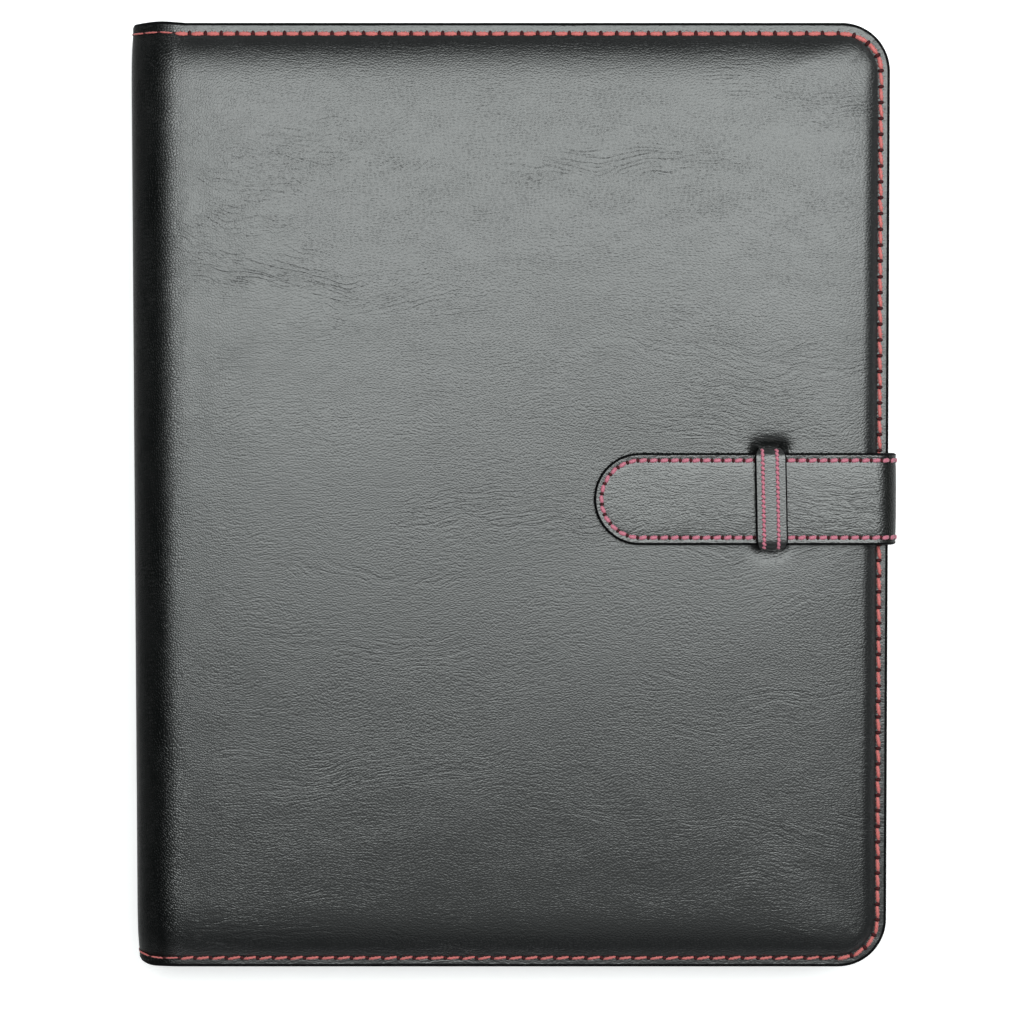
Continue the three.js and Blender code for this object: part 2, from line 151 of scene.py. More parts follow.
for name, (left, right), (low, high), radiance in panels:
    middle = ((left + right) / 2, (low + high) / 2)
    panel = area_light(name, (*middle, panel_height), (right - left, high - low), radiance)
    panel.color = panel_tint

room = bpy.data.worlds.new("studio")
room.use_nodes = True
room_tree = room.node_tree
towards = add_node(room_tree, "ShaderNodeTexCoord").outputs["Generated"]
direction = add_node(room_tree, "ShaderNodeSeparateXYZ", {0: towards}).outputs
room_calc = calculator(room_tree)
room_side = smooth_range(room_tree, direction[0], -0.7, 0.1, 0.01, 0.14)
room_walls = smooth_range(room_tree, direction[2], 0.2, 0.48, 0.3, 0.0)
walls_by_side = smooth_range(room_tree, direction[0], -0.85, -0.3, 0.1, 1.0)
room_level = room_calc("ADD", room_side, room_calc("MULTIPLY", room_walls, walls_by_side))
room_tree.links.new(room_level, room_tree.nodes["Background"].inputs["Strength"])
room_tree.nodes["Background"].inputs["Color"].default_value = (0.93, 0.97, 1.0, 1)
scene.world = room

half_floor = 20.0
floor_mesh = bpy.data.meshes.new("studio_floor")
floor_mesh.from_pydata(
    [(-half_floor, -half_floor, 0), (half_floor, -half_floor, 0),
     (half_floor, half_floor, 0), (-half_floor, half_floor, 0)],
    [], [(0, 1, 2, 3)])
floor = bpy.data.objects.new("studio_floor", floor_mesh)
floor_paper, floor_tree, floor_shader = new_material("floor_paper")
floor_shader.inputs["Base Color"].default_value = (0.9, 0.9, 0.9, 1)
floor_shader.inputs["Roughness"].default_value = 0.9
floor_shader.inputs["Emission Color"].default_value = (1, 1, 1, 1)
floor_calc = calculator(floor_tree)
seen = add_node(floor_tree, "ShaderNodeLightPath").outputs
seen_or_mirrored = floor_calc("MAXIMUM", seen["Is Camera Ray"], seen["Is Glossy Ray"])
any_view = floor_calc("MAXIMUM", seen_or_mirrored, seen["Is Transmission Ray"])
floor_place = add_node(floor_tree, "ShaderNodeTexCoord").outputs["Object"]
from_middle = add_node(floor_tree, "ShaderNodeVectorMath", {0: floor_place}, operation="LENGTH")
floor_glow = smooth_range(floor_tree, from_middle.outputs["Value"], 0.4, 2.0, 0.5, 0.98)
floor_tree.links.new(floor_calc("MULTIPLY", any_view, floor_glow), floor_shader.inputs["Emission Strength"])
floor_mesh.materials.append(floor_paper)
scene.collection.objects.link(floor)


# Leather
# Black imitation leather: cloth with a soft embossed film on it. The film has fine pebbles and
# long flat creases that run across the book, some of them gathered in bands.
def leather_grain_group():
    """Shader group: the height of embossed grain, in millimetres, on a surface map in metres."""
    tree = bpy.data.node_groups.new("leather_grain", "ShaderNodeTree")
    sockets = tree.interface
    sockets.new_socket("Surface", in_out="INPUT", socket_type="NodeSocketVector")
    for name, value in [("Pebble Size", 0.85), ("Pebble Depth", 0.028), ("Crinkle Length", 3.4),
                        ("Crinkle Spacing", 0.9), ("Crinkle Depth", 0.03), ("Crease Length", 17.0),
                        ("Crease Spacing", 2.3), ("Crease Depth", 0.04), ("Crease Spread", 0.12)]:
        socket = sockets.new_socket(name, in_out="INPUT", socket_type="NodeSocketFloat")
        socket.default_value = value
    for name in ("Height", "Creases"):
        sockets.new_socket(name, in_out="OUTPUT", socket_type="NodeSocketFloat")
    given = add_node(tree, "NodeGroupInput").outputs
    calc = calculator(tree)

    def vector(operation, *values):
        node = add_node(tree, "ShaderNodeVectorMath", dict(enumerate(values)), operation=operation)
        return node.outputs[0]

    def noise(place, scale, detail, output="Fac"):
        node = add_node(tree, "ShaderNodeTexNoise", {
            "Vector": place, "Scale": scale, "Detail": detail, "Roughness": 0.55}, noise_dimensions="2D")
        return node.outputs[output]

    def stretched(place, length, spacing, shift):
        scale = add_node(tree, "ShaderNodeCombineXYZ", {
            0: calc("DIVIDE", 1.0, length), 1: calc("DIVIDE", 1.0, spacing)}).outputs[0]
        return vector("MULTIPLY", vector("ADD", place, (shift, 3.7 * shift, 0)), scale)

    flat = vector("MULTIPLY", given["Surface"], (1000.0, 1000.0, 0.0))
    drift = vector("SUBTRACT", noise(flat, 0.035, 2.0, "Color"), (0.5, 0.5, 0.5))
    warped = vector("ADD", flat, vector("MULTIPLY", drift, (6.0, 7.0, 0.0)))
    sweep = vector("SUBTRACT", noise(flat, 0.011, 1.0, "Color"), (0.5, 0.5, 0.5))
    swept = vector("ADD", warped, vector("MULTIPLY", sweep, (0.0, 46.0, 0.0)))

    cells = add_node(tree, "ShaderNodeTexVoronoi", {
        "Vector": stretched(warped, calc("MULTIPLY", given["Pebble Size"], 1.5), given["Pebble Size"], 4.0),
        "Scale": 1.0}, voronoi_dimensions="2D", feature="DISTANCE_TO_EDGE")
    domes = smooth_range(tree, cells.outputs["Distance"], 0.0, 0.35)
    pebble = calc("MULTIPLY", domes, given["Pebble Depth"])

    wave = noise(stretched(warped, given["Crinkle Length"], given["Crinkle Spacing"], 9.0), 1.0, 2.5)
    patches = smooth_range(tree, noise(stretched(flat, 34.0, 17.0, 51.0), 1.0, 2.0), 0.3, 0.7)
    strength = calc("MULTIPLY", given["Crinkle Depth"], calc("ADD", 0.45, calc("MULTIPLY", patches, 0.55)))
    crinkle = calc("MULTIPLY", smooth_range(tree, wave, 0.3, 0.62), strength)

    line = noise(stretched(swept, given["Crease Length"], given["Crease Spacing"], 23.0), 1.0, 1.5)
    from_line = calc("ABSOLUTE", calc("SUBTRACT", line, 0.5))
    groove = calc("SUBTRACT", 1.0, smooth_range(tree, from_line, 0.0, 0.1))
    bands = smooth_range(tree, noise(stretched(flat, 85.0, 20.0, 11.0), 1.0, 2.0), 0.5, 0.7)
    everywhere = given["Crease Spread"]
    in_bands = calc("MULTIPLY", bands, calc("SUBTRACT", 1.0, everywhere))
    creases = calc("MULTIPLY", groove, calc("ADD", everywhere, in_bands))
    cut = calc("MULTIPLY", creases, given["Crease Depth"])
    height = calc("SUBTRACT", calc("ADD", pebble, crinkle), cut)
    add_node(tree, "NodeGroupOutput", {"Height": height, "Creases": creases})
    return tree


def bumped(tree, shader, height, depth, strength=1.0):
    """Gives a surface fine relief. depth is how far apart the heights 0 and 1 lie."""
    bump = add_node(tree, "ShaderNodeBump", {"Height": height, "Distance": depth, "Strength": strength})
    tree.links.new(bump.outputs[0], shader.inputs["Normal"])
    return bump.outputs[0]


def uneven_gloss(tree, shader, share, smoothest, roughest):
    """Roughness that goes from smoothest to roughest by a share from 0 to 1."""
    rough = add_node(tree, "ShaderNodeMapRange", {"Value": share, "To Min": smoothest, "To Max": roughest})
    tree.links.new(rough.outputs["Result"], shader.inputs["Roughness"])


def leather(name, color, roughness, index=1.5, **grain_values):
    """A leather material. grain_values set the size and depth of its grain, in millimetres. Where the
    mesh says that it is turned round a bend, its pebbles are deeper and its film shines less."""
    material, tree, shader = new_material(name)
    place = add_node(tree, "ShaderNodeUVMap", uv_map="surface")
    grain = add_node(tree, "ShaderNodeGroup", node_tree=leather_grain)
    tree.links.new(place.outputs[0], grain.inputs["Surface"])
    for key, value in grain_values.items():
        grain.inputs[key.replace("_", " ").title()].default_value = value
    turned = add_node(tree, "ShaderNodeAttribute", attribute_name="turned").outputs["Fac"]
    pebble_depth = grain.inputs["Pebble Depth"].default_value
    for socket, start, value, bent_value in (
            (grain.inputs["Pebble Depth"], 0.0, pebble_depth, 2.8 * pebble_depth),
            (shader.inputs["Coat Weight"], 0.55, 0.9, 0.08),
            (shader.inputs["Specular IOR Level"], 0.55, 0.5, 0.06)):
        change = add_node(tree, "ShaderNodeMapRange", {
            "Value": turned, "From Min": start, "To Min": value, "To Max": bent_value})
        tree.links.new(change.outputs["Result"], socket)
    relief = bumped(tree, shader, grain.outputs["Height"], mm)
    tree.links.new(relief, shader.inputs["Coat Normal"])
    uneven_gloss(tree, shader, grain.outputs["Creases"], roughness, roughness + 0.05)
    shader.inputs["Base Color"].default_value = (*color, 1)
    shader.inputs["IOR"].default_value = index
    shader.inputs["Coat Roughness"].default_value = 0.24
    return material


leather_grain = leather_grain_group()
cover_leather = leather("cover_leather", (0.0036, 0.0041, 0.0041), 0.3)


def object_noise(tree, scale, detail):
    """Noise that is fixed to the piece, from 0 to 1."""
    place = add_node(tree, "ShaderNodeTexCoord").outputs["Object"]
    noise = add_node(tree, "ShaderNodeTexNoise", {"Vector": place, "Scale": scale, "Detail": detail})
    return noise.outputs["Fac"]


def two_tones(tree, shader, share, dark, light):
    """Colours a surface from dark to light by a share from 0 to 1."""
    tone = add_node(tree, "ShaderNodeMix", {0: share}, data_type="RGBA")
    tone.inputs[6].default_value = (*dark, 1)
    tone.inputs[7].default_value = (*light, 1)
    tree.links.new(tone.outputs[2], shader.inputs["Base Color"])


def paint_material():
    """Black edge paint on the cut edges of the leather: dull, with a slightly lumpy bead."""
    material, tree, shader = new_material("edge_paint")
    lumps = object_noise(tree, 420.0, 2.0)
    two_tones(tree, shader, lumps, (0.0022, 0.0022, 0.0025), (0.005, 0.005, 0.0055))
    bumped(tree, shader, lumps, 0.12 * mm)
    shader.inputs["Roughness"].default_value = 0.55
    shader.inputs["IOR"].default_value = 1.12
    return material


edge_paint = paint_material()


# Outer skins
# One piece of leather wraps both covers and the spine. It is stretched over a foam pad and a board
# in each cover, and its sewn edges are flat. Here it is two pieces that meet on the middle of the
# spine.
def grid_faces(rows, columns):
    """The numbers of a grid's points, and its faces."""
    number = np.arange(rows * columns).reshape(rows, columns)
    corners = [number[:-1, :-1], number[1:, :-1], number[1:, 1:], number[:-1, 1:]]
    return number, np.stack(corners, -1).reshape(-1, 4)


def solid_sheet(name, outer, inner, surface, material, rim=(), edge_material=None, edge_mask=None,
                open_row=None, turned=None):
    """A closed sheet from two grids of points, with a rim between their borders.

    surface holds each point's place on the leather, in metres. rim lists (share, bulge): how far
    down the rim a ring of points lies, and how far it stands out past the border. edge_material
    goes on the rim, and on the outer grid's faces that edge_mask picks. The rim is left out along
    open_row, the row of the grid where the next piece of the same sheet begins. turned says how far
    each row of the grid lies in a bend."""
    rows, columns = outer.shape[:2]
    number, quads = grid_faces(rows, columns)
    border = np.concatenate([number[:-1, 0], number[-1, :-1], number[:0:-1, -1], number[0, :0:-1]])
    outer_points = outer.reshape(-1, 3)
    inner_points = inner.reshape(-1, 3)
    along = outer_points[np.roll(border, -1)] - outer_points[np.roll(border, 1)]
    down = inner_points[border] - outer_points[border]
    out = np.cross(along, down)
    out /= np.linalg.norm(out, axis=1, keepdims=True) + 1e-12
    middle = outer_points.mean(0)
    if np.sum(out * (outer_points[border] - middle)) < 0:
        out = -out
    rings = [border]
    points = [outer_points, inner_points]
    maps = [surface.reshape(-1, 2), surface.reshape(-1, 2)]
    start = 2 * rows * columns
    for share, bulge in rim:
        points.append(outer_points[border] + down * share + out * bulge)
        maps.append(surface.reshape(-1, 2)[border])
        rings.append(np.arange(start, start + len(border)))
        start += len(border)
    rings.append(border + rows * columns)
    walls = [np.stack([a, np.roll(a, -1), np.roll(b, -1), b], -1) for a, b in zip(rings, rings[1:])]
    if open_row is not None:
        on_row = border // columns == open_row % rows
        walls = [wall[~(on_row & np.roll(on_row, -1))] for wall in walls]
    faces = np.concatenate([quads, quads[:, ::-1] + rows * columns, *[wall[:, ::-1] for wall in walls]])
    corner = outer[rows // 2:rows // 2 + 2, columns // 2:columns // 2 + 2]
    normal = np.cross(corner[1, 0] - corner[0, 0], corner[0, 1] - corner[0, 0])
    if np.dot(normal, corner[0, 0] - inner[rows // 2, columns // 2]) < 0:
        faces = faces[:, ::-1]
    mesh = bpy.data.meshes.new(name)
    mesh.from_pydata(np.concatenate(points).tolist(), [], faces.tolist())
    mesh.materials.append(material)
    if edge_material is not None:
        mesh.materials.append(edge_material)
        which = np.zeros(len(faces), np.int32)
        which[2 * len(quads):] = 1
        if edge_mask is not None:
            which[:len(quads)] = edge_mask.reshape(-1)
        mesh.polygons.foreach_set("material_index", which)
    map_layer = mesh.uv_layers.new(name="surface")
    corners = np.zeros(len(mesh.loops), np.int32)
    mesh.loops.foreach_get("vertex_index", corners)
    map_layer.data.foreach_set("uv", np.concatenate(maps)[corners].astype(np.float32).ravel())
    mesh.polygons.foreach_set("use_smooth", np.ones(len(faces), bool))
    if turned is not None:
        shares = np.repeat(turned, columns).astype(np.float32)
        shares = np.concatenate([shares, shares, *[shares[border]] * len(rim)])
        mesh.attributes.new("turned", "FLOAT", "POINT").data.foreach_set("value", shares)
    mesh.update()
    piece = bpy.data.objects.new(name, mesh)
    scene.collection.objects.link(piece)
    return piece


def eased(share):
    """A share from 0 to 1, cut off beyond them, with a soft start and end."""
    share = np.clip(share, 0, 1)
    return share * share * (3 - 2 * share)


def in_bend(into, before, full):
    """How far a place lies in a bend: 0 a distance before it, and 1 a distance into it."""
    return eased((into + before) / (before + full))


def quad_middles(values):
    """The mean of a grid's four corner values on each of its faces."""
    return (values[:-1, :-1] + values[1:, :-1] + values[1:, 1:] + values[:-1, 1:]) / 4


fore_edge = cover_high.x
spine_face = spine_low.x
end_trim = 1 * mm
half_height = cover_high.y - end_trim
corner_radius = 16 * mm
flange_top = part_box("front_seam_thread")[1].z + 0.2 * mm
pad_rise = book_top - flange_top
spine_reach = 16 * mm
spine_radius = 8.5 * mm
spine_pinch = 0.3 * mm
spine_lean = 0.8 * mm
head_fold = 0.6 * mm
tail_trim = 2.0 * mm
skin_thickness = 0.9 * mm
edge_rounding = 1.15 * mm
edge_drop = 0.62 * mm
painted_edge = 0.95 * mm
side_foot, end_foot = 3.9 * mm, 3.4 * mm
steep_share, steep_length = 0.38, 5.2 * mm
soft_length = 14 * mm
end_reach = 20 * mm
seam_inset = 3 * mm
grid_step = 1.65 * mm


def grid_lines(low, high, step, low_fine, high_fine):
    """Places from low to high, step apart, with finer ones at set distances from each end."""
    start = low + (max(low_fine) if low_fine else 0)
    end = high - (max(high_fine) if high_fine else 0)
    middle = np.linspace(start, end, int(round((end - start) / step)) + 1)
    places = [*middle, *[low + d for d in low_fine], *[high - d for d in high_fine]]
    return np.unique(np.round(places, 7))


edge_lines = [d * mm for d in (
    0, 0.05, 0.25, 0.5, 0.75, 0.95, 1.15, 1.6, 2.1, 2.6, 3.0, 3.4, 3.8, 4.3, 4.8, 5.3, 5.8, 6.4, 7.0,
    7.6, 8.2, 8.9, 9.6, 10.4, 11.2, 12.2, 13.4, 14.7, 16.0)]


def round_corner(x, y, right, half, radius):
    """Moves grid points near a cover's two outer corners in, so that their rings turn the corner."""
    across = np.maximum(x - (right - radius), 0)
    along = np.maximum(np.abs(y) - (half - radius), 0)
    far = np.hypot(across, along)
    scale = np.where((across > 0) & (along > 0), np.maximum(across, along) / np.maximum(far, 1e-9), 1)
    new_x = np.where(across > 0, right - radius + across * scale, x)
    new_y = np.where(along > 0, np.sign(y) * (half - radius + along * scale), y)
    return new_x, new_y


def from_edges(x, y):
    """How far in from the sewn edges a point lies."""
    side = fore_edge - x
    end = half_height - np.abs(y)
    in_corner = (side < corner_radius) & (end < corner_radius)
    a = np.maximum(corner_radius - side, 0)
    b = np.maximum(corner_radius - end, 0)
    return np.where(in_corner, corner_radius - np.hypot(a, b), np.minimum(side, end))


def pad_share(x, y):
    """The share of its full rise that the pad has at a point: it goes up steeply beside the
    fore-edge's seam and then swells slowly, and it rounds over in a longer way at head and tail."""
    side = fore_edge - x
    end = half_height - np.abs(y)

    def cut_by_corner(along):
        into = np.clip(corner_radius - along, 0, corner_radius)
        return corner_radius - np.sqrt(corner_radius ** 2 - into ** 2)

    side_cut, end_cut = cut_by_corner(end), cut_by_corner(side)
    beside = np.maximum(side - side_cut - side_foot, 0)
    along = np.maximum(end - end_cut - end_foot, 0)
    steep = np.clip(1 - beside / steep_length, 0, 1) ** 2
    share = steep_share * (1 - 0.75 * np.exp(-along / (20 * mm)))
    side_left = share * steep + (1 - share) * np.exp(-beside / soft_length)
    end_left = np.clip(1 - along / end_reach, 0, 1) ** 3
    return np.clip(1 - (side_left ** 3 + end_left ** 3) ** (1 / 3), 0, 1)


spine_face_length = book_top / 2 - spine_radius
spine_arc_length = 19 * mm
seam_arc_length = 16.5 * mm
stitch_spacing = 5.2 * mm
seam_radius = corner_radius - seam_inset
seam_start = spine_face_length + seam_arc_length
seam_tail = fore_edge - corner_radius - (spine_face + spine_reach)
seam_side = 2 * (half_height - corner_radius)
seam_length = 2 * (seam_start + seam_tail) + seam_side + math.pi * seam_radius
stitch_count = round(seam_length / stitch_spacing)
stitch_pitch = seam_length / stitch_count


def seam_place(x, y):
    """How far along the seam, from the middle of the spine at the tail, its nearest point lies."""
    a = np.maximum(x - (fore_edge - corner_radius), 0)
    b = np.maximum(np.abs(y) - (half_height - corner_radius), 0)
    corner = np.arctan2(a, b) * seam_radius
    low = seam_start + np.where(a > 0, seam_tail + corner, x - (spine_face + spine_reach))
    beside = seam_start + seam_tail + math.pi / 2 * seam_radius + (y + half_height - corner_radius)
    place = np.where(y < 0, low, seam_length - low)
    return np.where((b <= 0) & (fore_edge - x < half_height - np.abs(y)), beside, place)


rng = np.random.default_rng(11)
ripples = [
    (length * mm, angle, phase)
    for length, angle, phase in zip(
        (90, 64, 47, 38, 29, 22, 17), rng.uniform(0, math.pi, 7), rng.uniform(0, 2 * math.pi, 7))]
ripple_slope = 0.0022
ripple_margin, ripple_fade = 6 * mm, 14 * mm


def softness(x, y, distance):
    """Faint unevenness of the foam, none on the sewn edge."""
    height = np.zeros_like(x)
    for length, angle, phase in ripples:
        turns = (x * math.cos(angle) + y * math.sin(angle)) * 2 * math.pi / length
        height += ripple_slope * length / (2 * math.pi) * np.sin(turns + phase)
    return height * np.clip((distance - ripple_margin) / ripple_fade, 0, 1)


pucker_depth, pucker_reach = 0.26 * mm, 3.2 * mm
smooth_edge = 1.0 * mm


def puckers(x, y, distance):
    """The pull of each stitch on the leather beside it: small folds that run up the pad's slope."""
    place = seam_place(x, y) / stitch_pitch
    uneven = 0.6 + 0.4 * np.sin(place * 0.73 + 1.0) * np.sin(place * 0.31)
    reach = np.exp(-((distance - seam_inset) / pucker_reach) ** 2) * (distance > smooth_edge)
    return -pucker_depth * (0.5 + 0.5 * np.cos(2 * math.pi * place)) * uneven * reach


def spine_arc(turn, drop, pinch, y=-half_height):
    """A point of the spine's rounding: turn 0 is on the spine's face and a quarter turn on top.
    The spine stands out a little more towards the head."""
    rise = spine_radius * (1 - 2 * drop / book_top)
    lean = spine_lean * (0.5 + y / (2 * half_height))
    x = spine_face + spine_reach - (spine_reach - pinch + lean) * np.cos(turn)
    z = book_top - drop - rise + rise * np.sin(turn)
    return x, z


def rounded_border(distance):
    """How far the sewn border's painted rounding drops, a distance in from the cut edge."""
    return edge_drop * np.clip(1 - distance / edge_rounding, 0, 1) ** 1.5


keeper_low, keeper_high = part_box("keeper_loop")
strap_low, strap_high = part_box("strap_tongue_face")
keeper_half = (keeper_high.y - keeper_low.y) / 2
keeper_to_spine, strap_to_head = 2.9 * mm, 0.8 * mm
keeper_x = (keeper_low.x + keeper_high.x) / 2 - keeper_to_spine
strap_y = (keeper_low.y + keeper_high.y) / 2 + strap_to_head
head_dent, tail_dent = 2.7 * mm, 1.4 * mm
dent_reach, dent_half_width = 3.6 * mm, 5.9 * mm
dent_under_keeper = 1.0 * mm


def keeper_dents(x, y):
    """The skin dips where the keeper's two legs go down through it."""
    depth = np.zeros_like(x)
    for side, deep in ((1, head_dent), (-1, tail_dent)):
        from_leg = (y - strap_y) * side - keeper_half + dent_under_keeper
        beyond = np.clip(from_leg / dent_reach, -1.6, 4)
        across = (x - keeper_x) / dent_half_width
        depth += deep * np.exp(-np.abs(across) ** 4) * np.exp(-beyond ** 2 * 1.4)
    return depth


recess_low, recess_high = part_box("strap_anchor_face")
recess_depth = 2.2 * mm
recess_floor = recess_low.z + recess_depth
recess_margin = 0.8 * mm
recess_wall = 2.4 * mm
floor_clearance = 0.02 * mm
spine_draw = 9 * mm


def strap_seat(depth, x, y):
    """The shallow seat in the back cover where the strap is sewn on."""
    middle = (recess_low.y + recess_high.y) / 2
    half = (recess_high.y - recess_low.y) / 2 + recess_margin
    outside = np.maximum(np.maximum(np.abs(y - middle) - half, recess_low.x - recess_margin - x), 0)
    return np.maximum(depth, recess_floor + (depth - recess_floor) * eased(outside / recess_wall))


def cover_depth(side, x, y, swell):
    """How far the skin of a cover lies below its crown, without its rounded border."""
    distance = from_edges(x, y)
    depth = pad_rise * (1 - pad_share(x, y))
    extra = puckers(x, y, distance) + softness(x, y, distance) + swell(x, y)
    depth = np.where(distance < smooth_edge, depth, depth - extra)
    if side == "front":
        return depth + keeper_dents(x, y)
    return strap_seat(np.maximum(depth, floor_clearance), x, y)


trim_reach = 6.3 * mm
fold_place, fold_reach = 9 * mm, 6 * mm
end_fade = 12 * mm


def trimmed_ends(x, y):
    """Beside the spine the sewn edge is cut back at the tail, and stands out in a fold at the head."""
    from_spine = x - spine_face
    cut = tail_trim * np.clip(1 - from_spine / trim_reach, 0, 1) ** 2
    fold = head_fold * np.exp(-((from_spine - fold_place) / fold_reach) ** 2)
    near_end = np.clip((np.abs(y) - half_height + end_fade) / end_fade, 0, 1)
    return y + np.where(y < 0, cut, fold) * near_end


def skin_surface(side, swell):
    """The skin's outer face as a grid, front cover up, each point's place on the leather, and which
    faces lie on the painted edge. The grain is drawn out along the spine where the leather turns."""
    turns = np.linspace(0, math.pi / 2, 17)
    xs = grid_lines(spine_face + spine_reach, fore_edge, grid_step, [], edge_lines)[1:]
    ys = grid_lines(-half_height, half_height, grid_step, edge_lines, edge_lines)
    face = np.linspace(0, 1, 5)[:-1]
    columns = len(ys)
    y = np.tile(ys, (len(xs), 1))
    x = np.tile(xs[:, None], (1, columns))
    map_x = x - (spine_face + spine_reach)
    map_x = map_x + spine_draw * (1 - np.exp(-map_x / spine_draw))
    map_y = y.copy()
    x, y = round_corner(x, y, fore_edge, half_height, corner_radius)
    distance = from_edges(x, y)
    depth = cover_depth(side, x, y, swell) + rounded_border(distance)
    cover = np.stack([x, y, book_top - depth], -1)

    end = half_height - np.abs(ys)
    share = pad_share(np.full_like(ys, spine_face + spine_reach), ys)
    drop = pad_rise * (1 - share)
    drop = drop - puckers(np.full_like(ys, spine_face + spine_reach), ys, end)
    pinch = spine_pinch * (1 - share)
    tuck = rounded_border(end)
    arc_x, arc_z = spine_arc(turns[:, None], drop[None], pinch[None], ys[None])
    arc_x = arc_x + tuck * np.cos(turns[:, None])
    arc_z = arc_z - tuck * np.sin(turns[:, None])
    arc = np.stack([arc_x, trimmed_ends(arc_x, ys[None]), arc_z], -1)
    foot = arc[0]
    flat = np.stack([np.tile(foot[:, 0], (len(face), 1)), np.tile(foot[:, 1], (len(face), 1)),
                     book_top / 2 + face[:, None] * (foot[:, 2] - book_top / 2)], -1)
    outer = np.concatenate([flat, arc, cover])
    across = np.concatenate([
        np.tile(((face - 1) * spine_face_length)[:, None], (1, columns)) - 2 * spine_arc_length,
        np.tile(((turns / (math.pi / 2) - 1) * 2 * spine_arc_length)[:, None], (1, columns)),
        map_x])
    up = np.concatenate([np.tile(ys, (len(face) + len(turns), 1)), map_y])
    from_edge = np.concatenate([np.tile(end, (len(face) + len(turns), 1)), distance])
    return outer, np.stack([across, up], -1), quad_middles(from_edge) < painted_edge


def inner_face(outer, thickness):
    """The grid moved in along its own normals. Normals point out where the grid turns out."""
    normal = np.cross(np.gradient(outer, axis=0), np.gradient(outer, axis=1))
    normal /= np.linalg.norm(normal, axis=2, keepdims=True) + 1e-12
    if normal[outer.shape[0] // 2, outer.shape[1] // 2, 2] < 0:
        normal = -normal
    return outer - normal * thickness


def turned_over(grid):
    """The same grid for the back cover: head stays head, and the outer face turns down."""
    flipped = grid.copy()
    flipped[..., 2] = book_top - grid[..., 2]
    return flipped


def no_swell(x, y):
    return np.zeros_like(x)


foam_push = 0.25
most_drawn_in, most_swelling = 0.3 * mm, 0.9 * mm
simulated_frames = 20
coarse_rows, coarse_columns = 80, 106
held_past_foot = 1 * mm
leg_reach, leg_half_width = 3 * mm, 7 * mm


def simulated_swell():
    """How the leather over a pad swells under the foam's push, found by a cloth simulation of a coarse
    sheet that is held at the seam, beside the spine, under the strap and round the keeper's legs."""
    xs = np.linspace(spine_face + spine_reach, fore_edge - side_foot, coarse_rows)
    ys = np.linspace(-half_height + end_foot, half_height - end_foot, coarse_columns)
    x, y = np.meshgrid(xs, ys, indexing="ij")
    start = book_top - cover_depth("front", x, y, no_swell)
    rows, columns = x.shape
    number, quads = grid_faces(rows, columns)
    mesh = bpy.data.meshes.new("swelling_sheet")
    mesh.from_pydata(np.stack([x, y, start], -1).reshape(-1, 3).tolist(), [], quads.tolist())
    sheet = bpy.data.objects.new("swelling_sheet", mesh)
    scene.collection.objects.link(sheet)
    near_leg = np.abs(np.abs(y - strap_y) - keeper_half) < leg_reach
    near_leg &= np.abs(x - keeper_x) < leg_half_width
    under_strap = (np.abs(y - strap_y) < (strap_high.y - strap_low.y) / 2) & (x > strap_low.x)
    at_border = (from_edges(x, y) < side_foot + held_past_foot) | (x < xs[3])
    held = at_border | near_leg | under_strap
    sheet.vertex_groups.new(name="held").add(number[held].tolist(), 1.0, "REPLACE")
    cloth = sheet.modifiers.new("cloth", "CLOTH")
    cloth.settings.vertex_group_mass = "held"
    cloth.settings.quality = 6
    cloth.settings.mass = 0.15
    cloth.settings.tension_stiffness = cloth.settings.compression_stiffness = 12
    cloth.settings.shear_stiffness = 8
    cloth.settings.bending_stiffness = 2
    cloth.settings.use_pressure = True
    cloth.settings.uniform_pressure_force = 4
    cloth.settings.effector_weights.gravity = 0
    cloth.point_cache.frame_start, cloth.point_cache.frame_end = 1, simulated_frames
    for step in range(1, simulated_frames + 1):
        scene.frame_set(step)
    evaluated = sheet.evaluated_get(bpy.context.evaluated_depsgraph_get())
    places = np.zeros(rows * columns * 3, np.float32)
    evaluated.data.vertices.foreach_get("co", places)
    swelling = places.reshape(rows, columns, 3)[..., 2].astype(float) - start
    scene.frame_set(1)
    bpy.data.objects.remove(sheet)
    swelling = np.clip(foam_push * swelling, -most_drawn_in, most_swelling)

    def swell(x, y):
        column = np.clip((x - xs[0]) / (xs[1] - xs[0]), 0, rows - 1.001)
        row = np.clip((y - ys[0]) / (ys[1] - ys[0]), 0, columns - 1.001)
        i, j = column.astype(int), row.astype(int)
        a, b = column - i, row - j
        return ((swelling[i, j] * (1 - a) + swelling[i + 1, j] * a) * (1 - b)
                + (swelling[i, j + 1] * (1 - a) + swelling[i + 1, j + 1] * a) * b)

    return swell


pad_swell = simulated_swell()
turn_before, turn_full = 8 * mm, 12 * mm
skins = {}
for side in ("front", "back"):
    outer, place, painted = skin_surface(side, pad_swell)
    inner = inner_face(outer, skin_thickness)
    turned = in_bend(-place[:, 0, 0], turn_before, turn_full)
    if side == "back":
        outer, inner = turned_over(outer), turned_over(inner)
        place = place * (-1, 1)
    skins[side] = solid_sheet(f"{side}_cover_skin", outer, inner, place, cover_leather,
                              edge_material=edge_paint, edge_mask=painted, open_row=0, turned=turned)


def bend_cover(piece, side):
    """A piece of a cover keeps its rest shape, with its placing baked into its mesh."""
    if side == "front":
        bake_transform(piece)
    else:
        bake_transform(piece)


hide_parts("front_outer_skin")
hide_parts("back_outer_skin", "spine_outer_skin")
for side, skin in skins.items():
    bend_cover(skin, side)


